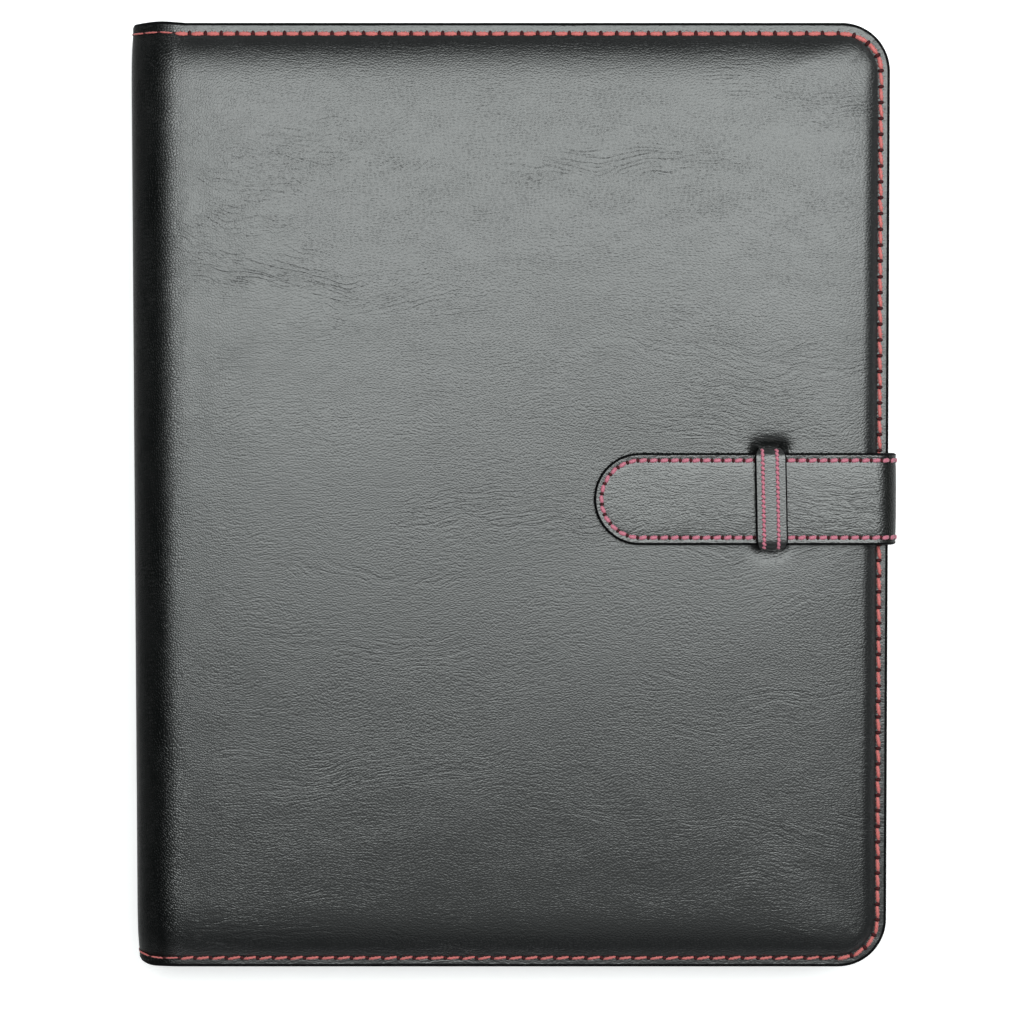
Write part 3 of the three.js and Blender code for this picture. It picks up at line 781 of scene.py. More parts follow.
# Foam pads
# Soft open-cell foam, glued to each board. The skin over it gives the pad its shape, and the foam
# is thinner under the strap's seat and round the keeper's legs.
def foam_material():
    """Dark grey open cells, with painted shade in each cell's hollow."""
    material, tree, shader = new_material("foam")
    place = add_node(tree, "ShaderNodeTexCoord").outputs["Object"]
    cells = add_node(tree, "ShaderNodeTexVoronoi", {"Vector": place, "Scale": 1400.0}).outputs["Distance"]
    # The cells' hollows are painted darker: painted shade in the open pores.
    two_tones(tree, shader, cells, (0.03, 0.03, 0.033), (0.16, 0.16, 0.17))
    bumped(tree, shader, cells, 0.4 * mm)
    shader.inputs["Roughness"].default_value = 0.95
    return material


foam = foam_material()
foam_inset = 9.4 * mm
foam_clearance = 0.12 * mm
foam_step = 3 * mm
foam_border = [0, 0.6 * mm, 1.6 * mm]
skin_on_slope, skin_on_turn = 1.12 * skin_thickness, 1.3 * skin_thickness
glue_line, least_foam = 0.04 * mm, 0.2 * mm
board_low, board_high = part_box("front_board")
for side in ("front", "back"):
    right, top = fore_edge - foam_inset, half_height - foam_inset
    xs = grid_lines(board_low.x, right, foam_step, foam_border[:2], foam_border)
    ys = grid_lines(-top, top, foam_step, foam_border, foam_border)
    x, y = np.meshgrid(xs, ys, indexing="ij")
    x, y = round_corner(x, y, right, top, corner_radius - foam_inset)
    under_skin = book_top - cover_depth(side, x, y, pad_swell) - skin_on_slope - foam_clearance
    lift = spine_arc(np.arccos(np.clip(1 - (x - spine_face) / spine_reach, 0, 1)), 0, 0)[1]
    under_skin = np.minimum(under_skin, np.where(
        x < spine_face + spine_reach, lift - skin_on_turn - foam_clearance, under_skin))
    outer = np.stack([x, y, np.maximum(under_skin, board_high.z + least_foam)], -1)
    inner = np.stack([x, y, np.full_like(x, board_high.z + glue_line)], -1)
    if side == "back":
        outer, inner = turned_over(outer), turned_over(inner)
    pad = solid_sheet(f"{side}_foam", outer, inner, outer[..., :2], foam)
    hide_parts(f"{side}_foam_pad")
    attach(pad, f"{side}_cover")


# Boards
# Grey millboard, die cut. One stiffens each cover and one the spine. They are the CAD solids.
def board_material():
    """Grey pressed paper fibre."""
    material, tree, shader = new_material("greyboard")
    fibres = object_noise(tree, 700.0, 4.0)
    two_tones(tree, shader, fibres, (0.17, 0.16, 0.15), (0.36, 0.34, 0.31))
    bumped(tree, shader, fibres, 0.1 * mm)
    shader.inputs["Roughness"].default_value = 0.9
    return material


def give_material(node, material):
    """A CAD node keeps its shape and gets a new finish."""
    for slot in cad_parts[node].material_slots:
        slot.material = material


greyboard = board_material()
for node in ("front_board", "back_board", "spine_board"):
    give_material(node, greyboard)


# Linings
# Black woven cloth. Each covers the inside of a cover, is caught in its seam, and carries on round
# the binding strip to the middle of the spine as the hinge. The two meet under the strip.
def woven_cloth_group():
    """Shader group: a plain weave's height, in millimetres, and tone, on a surface map in metres. The tone
    is painted shade between the yarns, darkest where they lie low, times uneven slubs.
    """
    tree = bpy.data.node_groups.new("woven_cloth", "ShaderNodeTree")
    sockets = tree.interface
    sockets.new_socket("Surface", in_out="INPUT", socket_type="NodeSocketVector")
    for name, value in [("Yarn Spacing", 0.45), ("Yarn Height", 0.12), ("Slub", 0.35)]:
        sockets.new_socket(name, in_out="INPUT", socket_type="NodeSocketFloat").default_value = value
    for name in ("Height", "Shade And Slub"):
        sockets.new_socket(name, in_out="OUTPUT", socket_type="NodeSocketFloat")
    given = add_node(tree, "NodeGroupInput").outputs
    calc = calculator(tree)

    apart = add_node(tree, "ShaderNodeSeparateXYZ", {0: given["Surface"]}).outputs
    yarns = calc("DIVIDE", 1000.0, given["Yarn Spacing"])
    u, v = calc("MULTIPLY", apart[0], yarns), calc("MULTIPLY", apart[1], yarns)

    def crown(value):
        off = calc("SUBTRACT", calc("MULTIPLY", calc("FRACT", value), 2.0), 1.0)
        return calc("SUBTRACT", 1.0, calc("MULTIPLY", off, off))

    parity = calc("FLOORED_MODULO", calc("ADD", calc("FLOOR", u), calc("FLOOR", v)), 2.0)
    warp = calc("MULTIPLY", crown(u), calc("ADD", 0.45, calc("MULTIPLY", crown(v), 0.55)))
    weft = calc("MULTIPLY", crown(v), calc("ADD", 0.45, calc("MULTIPLY", crown(u), 0.55)))
    other = calc("SUBTRACT", 1.0, parity)
    top = calc("ADD", calc("MULTIPLY", warp, parity), calc("MULTIPLY", weft, other))
    stretch = add_node(tree, "ShaderNodeVectorMath", {
        0: given["Surface"], 1: (60.0, 1900.0, 0.0)}, operation="MULTIPLY").outputs[0]
    slub = add_node(tree, "ShaderNodeTexNoise", {"Vector": stretch, "Scale": 1.0, "Detail": 2.0})
    uneven = calc("SUBTRACT", 1.0, calc("MULTIPLY", slub.outputs["Fac"], given["Slub"]))
    # The tone follows the yarns' height: painted shade between them, times the slubs.
    add_node(tree, "NodeGroupOutput", {
        "Height": calc("MULTIPLY", top, given["Yarn Height"]), "Shade And Slub": calc("MULTIPLY", top, uneven)})
    return tree


def cloth_material(name, dark, light):
    """Plain woven cloth in one colour, with painted shade between its yarns."""
    material, tree, shader = new_material(name)
    place = add_node(tree, "ShaderNodeUVMap", uv_map="surface")
    weave = add_node(tree, "ShaderNodeGroup", {"Surface": place.outputs[0]}, node_tree=woven_cloth)
    two_tones(tree, shader, weave.outputs["Shade And Slub"], dark, light)
    bumped(tree, shader, weave.outputs["Height"], mm, strength=0.7)
    shader.inputs["Roughness"].default_value = 0.85
    shader.inputs["Sheen Weight"].default_value = 0.25
    return material


woven_cloth = woven_cloth_group()
lining_cloth = cloth_material("lining_cloth", (0.006, 0.006, 0.007), (0.032, 0.032, 0.034))
lining_inset = 0.45 * mm
lining_low, lining_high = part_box("front_lining")
lining_half = (lining_high.z - lining_low.z) / 2
lining_z = lining_low.z + lining_half
lining_x = (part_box("spine_lining")[0].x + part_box("spine_lining")[1].x) / 2
lining_bend = 1.7 * mm
lining_step = 5 * mm
lining_border = [d * mm for d in (0, 0.3, 0.8, 1.6, 2.4, 3.2, 4.0, 5.0, 6.2, 7.6, 9.2, 11.2, 13.4, 15.6)]
lining_hinge = [d * mm for d in (0, 1.5, 3, 5, 7, 9)]
caught_width, caught_fade = 4.5 * mm, 4 * mm
spine_pull = 1.0 * mm
sewn_gap = 0.03 * mm
flange_gap = flange_top - skin_thickness - (lining_z + lining_half) - sewn_gap
outer_clearance, inner_clearance = 0.35 * mm, 0.75 * mm


def inside_rounding(points, clearance):
    """Draws points of the front lining in, where they would lie past the skin round the spine."""
    x, y, z = points[..., 0], points[..., 1], points[..., 2]
    middle_x = spine_face + spine_reach
    drop = pad_rise * (1 - pad_share(np.full_like(y, middle_x), y))
    rise = spine_radius * (1 - 2 * drop / book_top)
    middle_z = book_top - drop - rise
    gap = skin_thickness + clearance
    across = np.maximum(middle_x - x, 0) / (spine_reach - spine_pinch - gap)
    up = np.maximum(z - middle_z, 0) / (rise - gap)
    past = np.hypot(across, up)
    scale = np.where((across > 0) & (up > 0) & (past > 1), 1 / np.maximum(past, 1e-9), 1)
    return np.stack([middle_x - (middle_x - x) * scale, y, middle_z + (z - middle_z) * scale], -1)


def lining_grids():
    """The front lining's outer and inner faces, and each point's place on the cloth."""
    right, top = fore_edge - lining_inset, half_height - lining_inset
    xs = grid_lines(lining_x + lining_bend, right, lining_step, lining_hinge, lining_border)
    ys = grid_lines(-top, top, lining_step, lining_border, lining_border)
    zs = np.linspace(book_top / 2, lining_z - lining_bend, 6)
    turns = np.linspace(0, math.pi / 2, 9)[1:-1]
    x = np.concatenate([np.full(len(zs), lining_x), lining_x + lining_bend * (1 - np.cos(turns)), xs])
    z = np.concatenate([zs, lining_z - lining_bend * (1 - np.sin(turns)), np.full(len(xs), lining_z)])
    out_x = np.concatenate([np.full(len(zs), -1.0), -np.cos(turns), np.zeros(len(xs))])
    out_z = np.concatenate([np.zeros(len(zs)), np.sin(turns), np.ones(len(xs))])
    run = np.concatenate([[0], np.cumsum(np.hypot(np.diff(x), np.diff(z)))])
    x, y = np.meshgrid(x, ys, indexing="ij")
    place = np.stack(np.broadcast_arrays(run[:, None], ys[None]), -1)
    x, y = round_corner(x, y, right, top, corner_radius - lining_inset)
    distance = from_edges(x, y)
    y = trimmed_ends(x, y)
    edge = eased(1 - (distance - caught_width) / caught_fade)
    pull = edge * (flange_gap * out_z[:, None] ** 2 + spine_pull * out_x[:, None] ** 2)
    out = np.stack(np.broadcast_arrays(out_x[:, None], 0 * y, out_z[:, None]), -1)
    middle = np.stack(np.broadcast_arrays(x, y, z[:, None]), -1)
    spineward = (out_x ** 2)[:, None, None]
    outer = middle + out * (lining_half + pull)[..., None]
    inner = middle + out * (pull[..., None] * spineward - lining_half)
    return inside_rounding(outer, outer_clearance), inside_rounding(inner, inner_clearance), place


linings = {}
for side in ("front", "back"):
    outer, inner, place = lining_grids()
    if side == "back":
        outer, inner = turned_over(outer), turned_over(inner)
    linings[side] = solid_sheet(f"{side}_cover_lining", outer, inner, place, lining_cloth,
                                rim=[(0.3, 0.06 * mm), (0.7, 0.06 * mm)])
    bend_cover(linings[side], side)
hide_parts("front_lining", "spine_lining")
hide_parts("back_lining")


# Seams
# Each cover is sewn with one row of red twisted thread that carries on round the spine. Between two
# stitches is the hole that the needle made. The lock stitches on the lining side lie under them.
def stitched_seam_tree():
    """Geometry Nodes: stitches and needle holes along a path whose points know which way is out."""
    tree = bpy.data.node_groups.new("stitched_seam", "GeometryNodeTree")
    sockets = tree.interface
    sockets.new_socket("Path", in_out="INPUT", socket_type="NodeSocketGeometry")
    for name in ("Half Stitches", "Seed"):
        sockets.new_socket(name, in_out="INPUT", socket_type="NodeSocketInt")
    for name in ("Stitch Length", "Thread Radius", "Dip", "Slant Spread", "Hole Length", "Hole Width"):
        sockets.new_socket(name, in_out="INPUT", socket_type="NodeSocketFloat")
    for name in ("Thread", "Hole"):
        sockets.new_socket(name, in_out="INPUT", socket_type="NodeSocketMaterial")
    sockets.new_socket("Seam", in_out="OUTPUT", socket_type="NodeSocketGeometry")
    given = add_node(tree, "NodeGroupInput").outputs
    calc = calculator(tree)

    def attribute(name, kind):
        return add_node(tree, "GeometryNodeInputNamedAttribute", {"Name": name}, data_type=kind).outputs[0]

    curve = add_node(tree, "GeometryNodeMeshToCurve", {"Mesh": given["Path"]})
    places = add_node(tree, "GeometryNodeResampleCurve", {
        "Curve": curve.outputs[0], "Count": calc("ADD", given["Half Stitches"], 1.0)}, mode="COUNT")
    odd = calc("MODULO", add_node(tree, "GeometryNodeInputIndex").outputs[0], 2.0)
    even = calc("SUBTRACT", 1.0, odd)
    facing = add_node(tree, "FunctionNodeAxesToRotation", {
        "Primary Axis": attribute("out", "FLOAT_VECTOR"),
        "Secondary Axis": add_node(tree, "GeometryNodeInputTangent").outputs[0],
    }, primary_axis="Z", secondary_axis="X")
    uneven = add_node(tree, "FunctionNodeRandomValue", {
        "Seed": given["Seed"]}, data_type="FLOAT")
    wobble = calc("MULTIPLY", calc("SUBTRACT", uneven.outputs[1], 0.5), given["Slant Spread"])
    slant = add_node(tree, "ShaderNodeCombineXYZ", {2: calc("ADD", attribute("slant", "FLOAT"), wobble)})
    turned = add_node(tree, "FunctionNodeRotateRotation", {
        "Rotation": facing.outputs[0],
        "Rotate By": add_node(tree, "FunctionNodeEulerToRotation", {0: slant.outputs[0]}).outputs[0],
    }, rotation_space="LOCAL")

    half = calc("MULTIPLY", given["Stitch Length"], 0.5)
    line = add_node(tree, "GeometryNodeCurvePrimitiveLine", {
        "Start": add_node(tree, "ShaderNodeCombineXYZ", {0: calc("MULTIPLY", half, -1.0)}).outputs[0],
        "End": add_node(tree, "ShaderNodeCombineXYZ", {0: half}).outputs[0]})
    bent = add_node(tree, "GeometryNodeResampleCurve", {
        "Curve": line.outputs[0], "Count": 12}, mode="COUNT")
    along = add_node(tree, "GeometryNodeSplineParameter").outputs["Factor"]
    from_middle = calc("ABSOLUTE", calc("SUBTRACT", calc("MULTIPLY", along, 2.0), 1.0))
    fall = calc("MULTIPLY", calc("POWER", from_middle, 3.0), calc("MULTIPLY", given["Dip"], -1.0))
    sunk = add_node(tree, "GeometryNodeSetPosition", {
        "Geometry": bent.outputs[0],
        "Offset": add_node(tree, "ShaderNodeCombineXYZ", {2: fall}).outputs[0]})
    twisted = add_node(tree, "GeometryNodeSetCurveTilt", {
        "Curve": sunk.outputs[0], "Tilt": calc("MULTIPLY", along, 8.0)})
    ring = add_node(tree, "GeometryNodeCurvePrimitiveCircle", {
        "Resolution": 6, "Radius": given["Thread Radius"]})
    ply = calc("ADD", 0.84, calc("MULTIPLY", 0.3, calc(
        "MODULO", add_node(tree, "GeometryNodeInputIndex").outputs[0], 2.0)))
    plies = add_node(tree, "GeometryNodeSetPosition", {
        "Geometry": ring.outputs[0],
        "Position": add_node(tree, "ShaderNodeVectorMath", {
            0: add_node(tree, "GeometryNodeInputPosition").outputs[0], "Scale": ply,
        }, operation="SCALE").outputs[0]})
    taper = calc("SUBTRACT", 1.0, calc("MULTIPLY", calc("POWER", from_middle, 4.0), 0.62))
    thread = add_node(tree, "GeometryNodeCurveToMesh", {
        "Curve": twisted.outputs[0], "Profile Curve": plies.outputs[0], "Scale": taper, "Fill Caps": True})
    girth = attribute("girth", "FLOAT")
    height = calc("ADD", 0.45, calc("MULTIPLY", girth, 0.4))
    thread_scale = add_node(tree, "ShaderNodeCombineXYZ", {0: 1.0, 1: girth, 2: height}).outputs[0]
    stitches = add_node(tree, "GeometryNodeInstanceOnPoints", {
        "Points": places.outputs[0], "Selection": odd, "Instance": thread.outputs[0],
        "Rotation": turned.outputs[0], "Scale": thread_scale})
    # Each needle hole is a very shallow cone whose dark colour is painted shade.
    hole = add_node(tree, "GeometryNodeMeshCone", {
        "Vertices": 8, "Radius Top": 0.5, "Radius Bottom": 0.18, "Depth": 0.1}, fill_type="TRIANGLE_FAN")
    hole_width = calc("MULTIPLY", girth, given["Hole Width"])
    hole_scale = add_node(tree, "ShaderNodeCombineXYZ", {
        0: given["Hole Length"], 1: hole_width, 2: given["Thread Radius"]})
    holes = add_node(tree, "GeometryNodeInstanceOnPoints", {
        "Points": places.outputs[0], "Selection": even, "Instance": hole.outputs[0],
        "Rotation": facing.outputs[0], "Scale": hole_scale.outputs[0]})
    parts = []
    for instances, name in ((stitches, "Thread"), (holes, "Hole")):
        real = add_node(tree, "GeometryNodeRealizeInstances", {"Geometry": instances.outputs[0]})
        shade = add_node(tree, "GeometryNodeSetShadeSmooth", {"Geometry": real.outputs[0]})
        parts.append(add_node(tree, "GeometryNodeSetMaterial", {
            "Geometry": shade.outputs[0], "Material": given[name]}).outputs[0])
    joined = add_node(tree, "GeometryNodeJoinGeometry")
    for part in reversed(parts):
        tree.links.new(part, joined.inputs[0])
    add_node(tree, "NodeGroupOutput", {"Seam": joined.outputs[0]})
    return tree


def seam_path(points, outs, slants, girths):
    """A line of points with what the stitches need to know at each."""
    mesh = bpy.data.meshes.new("seam_path")
    edges = [(i, i + 1) for i in range(len(points) - 1)]
    mesh.from_pydata([tuple(point) for point in points], edges, [])
    out = mesh.attributes.new("out", "FLOAT_VECTOR", "POINT")
    out.data.foreach_set("vector", np.asarray(outs, np.float32).ravel())
    for name, values in (("slant", slants), ("girth", girths)):
        layer = mesh.attributes.new(name, "FLOAT", "POINT")
        layer.data.foreach_set("value", np.asarray(values, np.float32))
    return mesh


def sew(name, paths, thread, hole, settings):
    """One mesh of stitches and needle holes from one or more paths."""
    made = []
    for number, (path, half_stitches) in enumerate(paths):
        worker = bpy.data.objects.new(name, path)
        scene.collection.objects.link(worker)
        modifier = worker.modifiers.new("seam", "NODES")
        modifier.node_group = stitched_seam
        values = dict(settings, **{
            "Half Stitches": half_stitches, "Seed": number + 3, "Thread": thread, "Hole": hole})
        for item in stitched_seam.interface.items_tree:
            if item.name in values:
                modifier[item.identifier] = values[item.name]
        evaluated = worker.evaluated_get(bpy.context.evaluated_depsgraph_get())
        made.append(bpy.data.meshes.new_from_object(evaluated))
        bpy.data.objects.remove(worker)
    piece = bpy.data.objects.new(name, made[0])
    scene.collection.objects.link(piece)
    if len(made) > 1:
        others = [bpy.data.objects.new(f"{name}_row", mesh) for mesh in made[1:]]
        for other in others:
            scene.collection.objects.link(other)
        with bpy.context.temp_override(active_object=piece, object=piece,
                                       selected_editable_objects=[piece, *others]):
            bpy.ops.object.join()
    return piece


def thread_material(name, color):
    """Twisted polyester thread, a little glossy, with its fibres running round it."""
    material, tree, shader = new_material(name)
    fibres = object_noise(tree, 5200.0, 2.0)
    two_tones(tree, shader, fibres, [0.62 * c for c in color], color)
    bumped(tree, shader, fibres, 0.04 * mm)
    shader.inputs["Roughness"].default_value = 0.5
    shader.inputs["Sheen Weight"].default_value = 0.3
    return material


def hole_shade_material():
    """A needle hole's mouth: a little of the thread's red, darkened as painted shade of the hole's depth.
    """
    material, tree, shader = new_material("needle_hole_shade")
    two_tones(tree, shader, object_noise(tree, 900.0, 1.0), (0.02, 0.001, 0.002), (0.1, 0.004, 0.008))
    shader.inputs["Roughness"].default_value = 0.9
    return material


stitched_seam = stitched_seam_tree()
red_thread = thread_material("red_thread", (0.72, 0.165, 0.155))
# The needle holes' colour is the thread's red with painted shade on it.
needle_hole_shade = hole_shade_material()


def flange_row(head_inset):
    """Places (x, y) and edges of a seam round three sides of a cover, from the spine at the tail."""
    left = spine_face + spine_reach
    right, top = fore_edge - corner_radius, half_height - corner_radius
    head_radius = corner_radius - head_inset
    row = [(x, -half_height + seam_inset, "tail") for x in np.linspace(left, right, 50)]
    row += [(right + seam_radius * math.cos(t), -top + seam_radius * math.sin(t), "side")
            for t in np.linspace(-math.pi / 2, 0, 13)[1:]]
    row += [(fore_edge - seam_inset, y, "side") for y in np.linspace(-top, top, 60)[1:]]
    row += [(right + seam_radius * math.cos(t), top + head_radius * math.sin(t), "head")
            for t in np.linspace(0, math.pi / 2, 13)[1:]]
    row += [(x, half_height - head_inset, "head") for x in np.linspace(right, left, 50)[1:]]
    return row


def cover_seam_path(side):
    """Round a cover's flange from the middle of the spine at the tail to the same place at the head."""
    turns = np.linspace(0, math.pi / 2, 13)
    out_x = -np.cos(turns) / (spine_reach - spine_pinch)
    out_z = np.sin(turns) / (spine_radius * (1 - 2 * pad_rise / book_top))
    size = np.hypot(out_x, out_z)

    def spine_places(end):
        arc_x, arc_z = spine_arc(turns, pad_rise, spine_pinch, end * half_height)
        places = [((arc_x[0], book_top / 2), (-1.0, 0.0), 0.0)]
        places += [((arc_x[k], arc_z[k]), (out_x[k] / size[k], out_z[k] / size[k]), turns[k])
                   for k in range(len(turns) - 1)]
        found = []
        for (x, z), (nx, nz), turn in places:
            inset = seam_inset + (head_seam_inset - seam_inset) * math.sin(turn) * (end > 0)
            edge = float(trimmed_ends(x, end * half_height))
            found.append(((x, edge - end * inset, z), (nx, 0, nz), "spine"))
        return found

    places = spine_places(-1)
    for x, y, kind in flange_row(head_seam_inset):
        places.append(((x, y, flange_top + pad_rise * float(pad_share(x, y))), (0, 0, 1), kind))
    places += spine_places(1)[::-1]
    points = np.array([place[0] for place in places])
    outs = np.array([place[1] for place in places], float)
    points = points + outs * seam_lift
    return finish_path(side, points, outs, [place[2] for place in places])


def lining_seam_path(side):
    """The same seam on the lining's face, where the lower thread shows."""
    places = flange_row(head_seam_inset)
    face = lining_z - lining_half - lining_seam_lift
    points = np.array([(x, y, face) for x, y, kind in places])
    outs = np.tile([0.0, 0.0, -1.0], (len(points), 1))
    return finish_path(side, points, outs, [place[2] for place in places])


def finish_path(side, points, outs, kinds):
    """Turns a front cover's path over for the back cover, and sets each stretch's slant and girth."""
    turn_sign = 1
    if side == "back":
        points[:, 2] = book_top - points[:, 2]
        outs[:, 2] = -outs[:, 2]
        turn_sign = -1
    return seam_path(points, outs, [turn_sign * stitch_slant[k] for k in kinds],
                     [stitch_girth[k] for k in kinds])


head_seam_inset = 3.8 * mm
seam_lift, lining_seam_lift = 0.1 * mm, 0.05 * mm
stitch_slant = {"spine": 0.0, "tail": 0.15, "side": 0.11, "head": 0.02}
stitch_girth = {"spine": 0.8, "tail": 1.25, "side": 1.75, "head": 2.1}
seam_settings = {
    "Stitch Length": 0.9 * stitch_pitch, "Thread Radius": 0.4 * mm, "Dip": 0.4 * mm,
    "Slant Spread": 0.1, "Hole Length": 1.35 * mm, "Hole Width": 1.15 * mm}
lining_stitches = round((seam_length - 2 * seam_start) / stitch_pitch)
for side in ("front", "back"):
    paths = [(cover_seam_path(side), 2 * stitch_count), (lining_seam_path(side), 2 * lining_stitches)]
    seam = sew(f"{side}_cover_stitches", paths, red_thread, needle_hole_shade, seam_settings)
    if side == "front":
        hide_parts("front_seam_thread", "spine_head_thread", "spine_tail_thread")
    else:
        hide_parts("back_seam_thread")
    bend_cover(seam, side)


# Strap
# Two layers of the same leather, glued back to back and sewn all round. Its square end is sewn into
# the seat in the back cover, it bends round the fore-edge, and its round tip lies on the front cover.
strap_width = 30 * mm
strap_layer = 0.95 * mm
strap_bend = 8 * mm
strap_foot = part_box("strap_anchor_face")[0].z
strap_top = strap_high.z
side_drawn_in, tip_drawn_out = 0.9 * mm, 1.8 * mm
strap_side_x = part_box("strap_side_face")[1].x - side_drawn_in
bend_x = strap_side_x - strap_bend
anchor_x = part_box("strap_anchor_face")[0].x
tip_x = strap_low.x - tip_drawn_out
anchor_flat = bend_x - anchor_x
bend_length = math.pi / 2 * strap_bend
side_flat = strap_top - strap_foot - 2 * strap_bend
tongue_flat = bend_x - tip_x
strap_half_way = anchor_flat + bend_length + side_flat / 2
strap_length = anchor_flat + 2 * bend_length + side_flat + tongue_flat


def strap_line(p):
    """A point of the strap's outer face and the way out of it, p along it from its sewn end."""
    p = np.asarray(p, float)
    stops = np.cumsum([anchor_flat, bend_length, side_flat, bend_length])
    lower = np.clip((p - stops[0]) / strap_bend, 0, math.pi / 2)
    upper = np.clip((p - stops[2]) / strap_bend, 0, math.pi / 2)
    turn = lower + upper
    x = (anchor_x + np.minimum(p, anchor_flat) + strap_bend * np.sin(lower)
         - strap_bend * (1 - np.cos(upper)) - np.maximum(p - stops[3], 0))
    z = (strap_foot + strap_bend * (1 - np.cos(lower))
         + np.clip(p - stops[1], 0, side_flat) + strap_bend * np.sin(upper))
    return x, z, np.sin(turn), -np.cos(turn)


def rounded_over(from_border, radius):
    """How far a band's face drops, a distance in from its rounded border."""
    border = np.clip(radius - from_border, 0, radius)
    return radius - np.sqrt(radius ** 2 - border ** 2)


def strap_face_height(from_border):
    """The face is pulled in along its seam and rounds over at its border."""
    seam = -seam_pull * np.exp(-((from_border - strap_seam_inset) / seam_pull_reach) ** 2)
    crown = strap_crown * np.clip((from_border - strap_seam_inset) / crown_reach, 0, 1)
    return seam + crown - rounded_over(from_border, strap_rounding)


strap_seam_inset = 2.3 * mm
seam_pull, seam_pull_reach = 0.16 * mm, 0.9 * mm
strap_crown, crown_reach = 0.12 * mm, 6 * mm
strap_rounding = 0.5 * mm
strap_step = 1.2 * mm
strap_painted_edge = 0.55 * mm
strap_edge = [d * mm for d in (0, 0.1, 0.25, 0.42, 0.62, 0.95, 1.4, 1.9, 2.3, 2.7, 3.3, 4.2, 5.5)]
tip_radius = strap_width / 2
end_radius = 3.5 * mm


def strap_layer_grids(first, last, top, bottom, is_face):
    """Outer and inner grids of one layer of the strap, between two places along it."""
    has_tip = last > strap_length - 1e-6
    has_end = first < 1e-6
    ends = strap_edge if has_end else [], strap_edge if has_tip else []
    ps = grid_lines(first, last, strap_step, *ends)
    bends = [stop + t * bend_length for stop in (anchor_flat, anchor_flat + bend_length + side_flat)
             for t in np.linspace(0, 1, 17)]
    ps = np.unique(np.round([*ps, *[b for b in bends if first < b < last]], 7))
    ps = ps[np.concatenate([[True], np.diff(ps) > 1e-5])]
    vs = grid_lines(-tip_radius, tip_radius, strap_step, strap_edge, strap_edge)
    p, v = np.meshgrid(ps, vs, indexing="ij")
    if has_tip:
        p, v = rounded_end(p, v, strap_length, tip_radius, tip_radius)
    if has_end:
        q, v = rounded_end(-p, v, 0.0, tip_radius, end_radius)
        p = -q
    beside = tip_radius - np.abs(v)
    from_border = beside
    if has_tip:
        a = np.maximum(p - (strap_length - tip_radius), 0)
        from_border = np.where(a > 0, tip_radius - np.hypot(a, v), beside)
    if has_end:
        from_border = np.minimum(from_border, p)
    lift = strap_face_height(np.maximum(from_border, 0)) if is_face else 0 * p
    x, z, nx, nz = strap_line(p)
    y = strap_y + v

    def at(offset):
        return np.stack([x + nx * offset, y, z + nz * offset], -1)

    outer, inner = at(top + lift), at(bottom)
    return outer, inner, np.stack([p, v], -1), quad_middles(from_border) < strap_painted_edge


def rounded_end(p, v, last, half, radius):
    """Pulls the corners of a strip's end in to a radius."""
    a = np.maximum(p - (last - radius), 0)
    b = np.maximum(np.abs(v) - (half - radius), 0)
    both = (a > 0) & (b > 0)
    scale = np.where(both, np.maximum(a, b) / np.maximum(np.hypot(a, b), 1e-12), 1)
    return (np.where(a > 0, last - radius + a * scale, p),
            np.where(b > 0, np.sign(v) * (half - radius + b * scale), v))


bead = [(0.2, 0.1 * mm), (0.5, 0.15 * mm), (0.8, 0.1 * mm)]
strap_leather = leather("strap_leather", (0.004, 0.0046, 0.004), 0.32, index=1.6,
                        crinkle_length=4.8, crinkle_spacing=1.2, crinkle_depth=0.022,
                        crease_length=10.0, crease_spacing=1.9, crease_depth=0.055, crease_spread=0.5)
fold_before, fold_full = 1 * mm, 5 * mm
strap_pieces = {}
for part, first, last in (("back", 0.0, strap_half_way), ("front", strap_half_way, strap_length)):
    for layer, top, bottom in (("face", 0.0, -strap_layer), ("lining", -strap_layer, -2 * strap_layer)):
        outer, inner, place, painted = strap_layer_grids(first, last, top, bottom, layer == "face")
        along = place[:, place.shape[1] // 2, 0]
        into_bends = np.minimum(along - anchor_flat, strap_length - tongue_flat - along)
        turned = in_bend(into_bends, fold_before, fold_full)
        piece = solid_sheet(f"strap_{part}_{layer}", outer, inner, place, strap_leather, rim=bead,
                            edge_material=edge_paint, edge_mask=painted if layer == "face" else None,
                            open_row=-1 if part == "back" else 0, turned=turned)
        strap_pieces[part, layer] = piece
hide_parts("strap_anchor_face", "strap_side_face", "strap_lower_bend")
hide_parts("strap_anchor_lining", "strap_side_lining")
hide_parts("strap_tongue_face", "strap_upper_bend")
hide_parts("strap_tongue_lining")


def bend_strap(piece, part):
    """A half of the strap keeps its rest shape, with its placing baked into its mesh."""
    if part == "back":
        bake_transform(piece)
    else:
        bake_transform(piece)


for (part, layer), piece in strap_pieces.items():
    bend_strap(piece, part)


def strap_seam_path(places):
    """A path from places (p, v) on the strap's face."""
    places = np.array(places, float)
    x, z, nx, nz = strap_line(places[:, 0])
    points = np.stack([x, strap_y + places[:, 1], z], -1)
    outs = np.stack([nx, 0 * nx, nz], -1)
    return seam_path(points - outs * strap_seam_sink, outs, [strap_slant] * len(x), [strap_girth] * len(x))


def path_half_stitches(places, pitch):
    """How many half stitches a row of places has room for."""
    steps = np.diff(np.array(places, float), axis=0)
    return 2 * round(float(np.hypot(steps[:, 0], steps[:, 1]).sum()) / pitch)


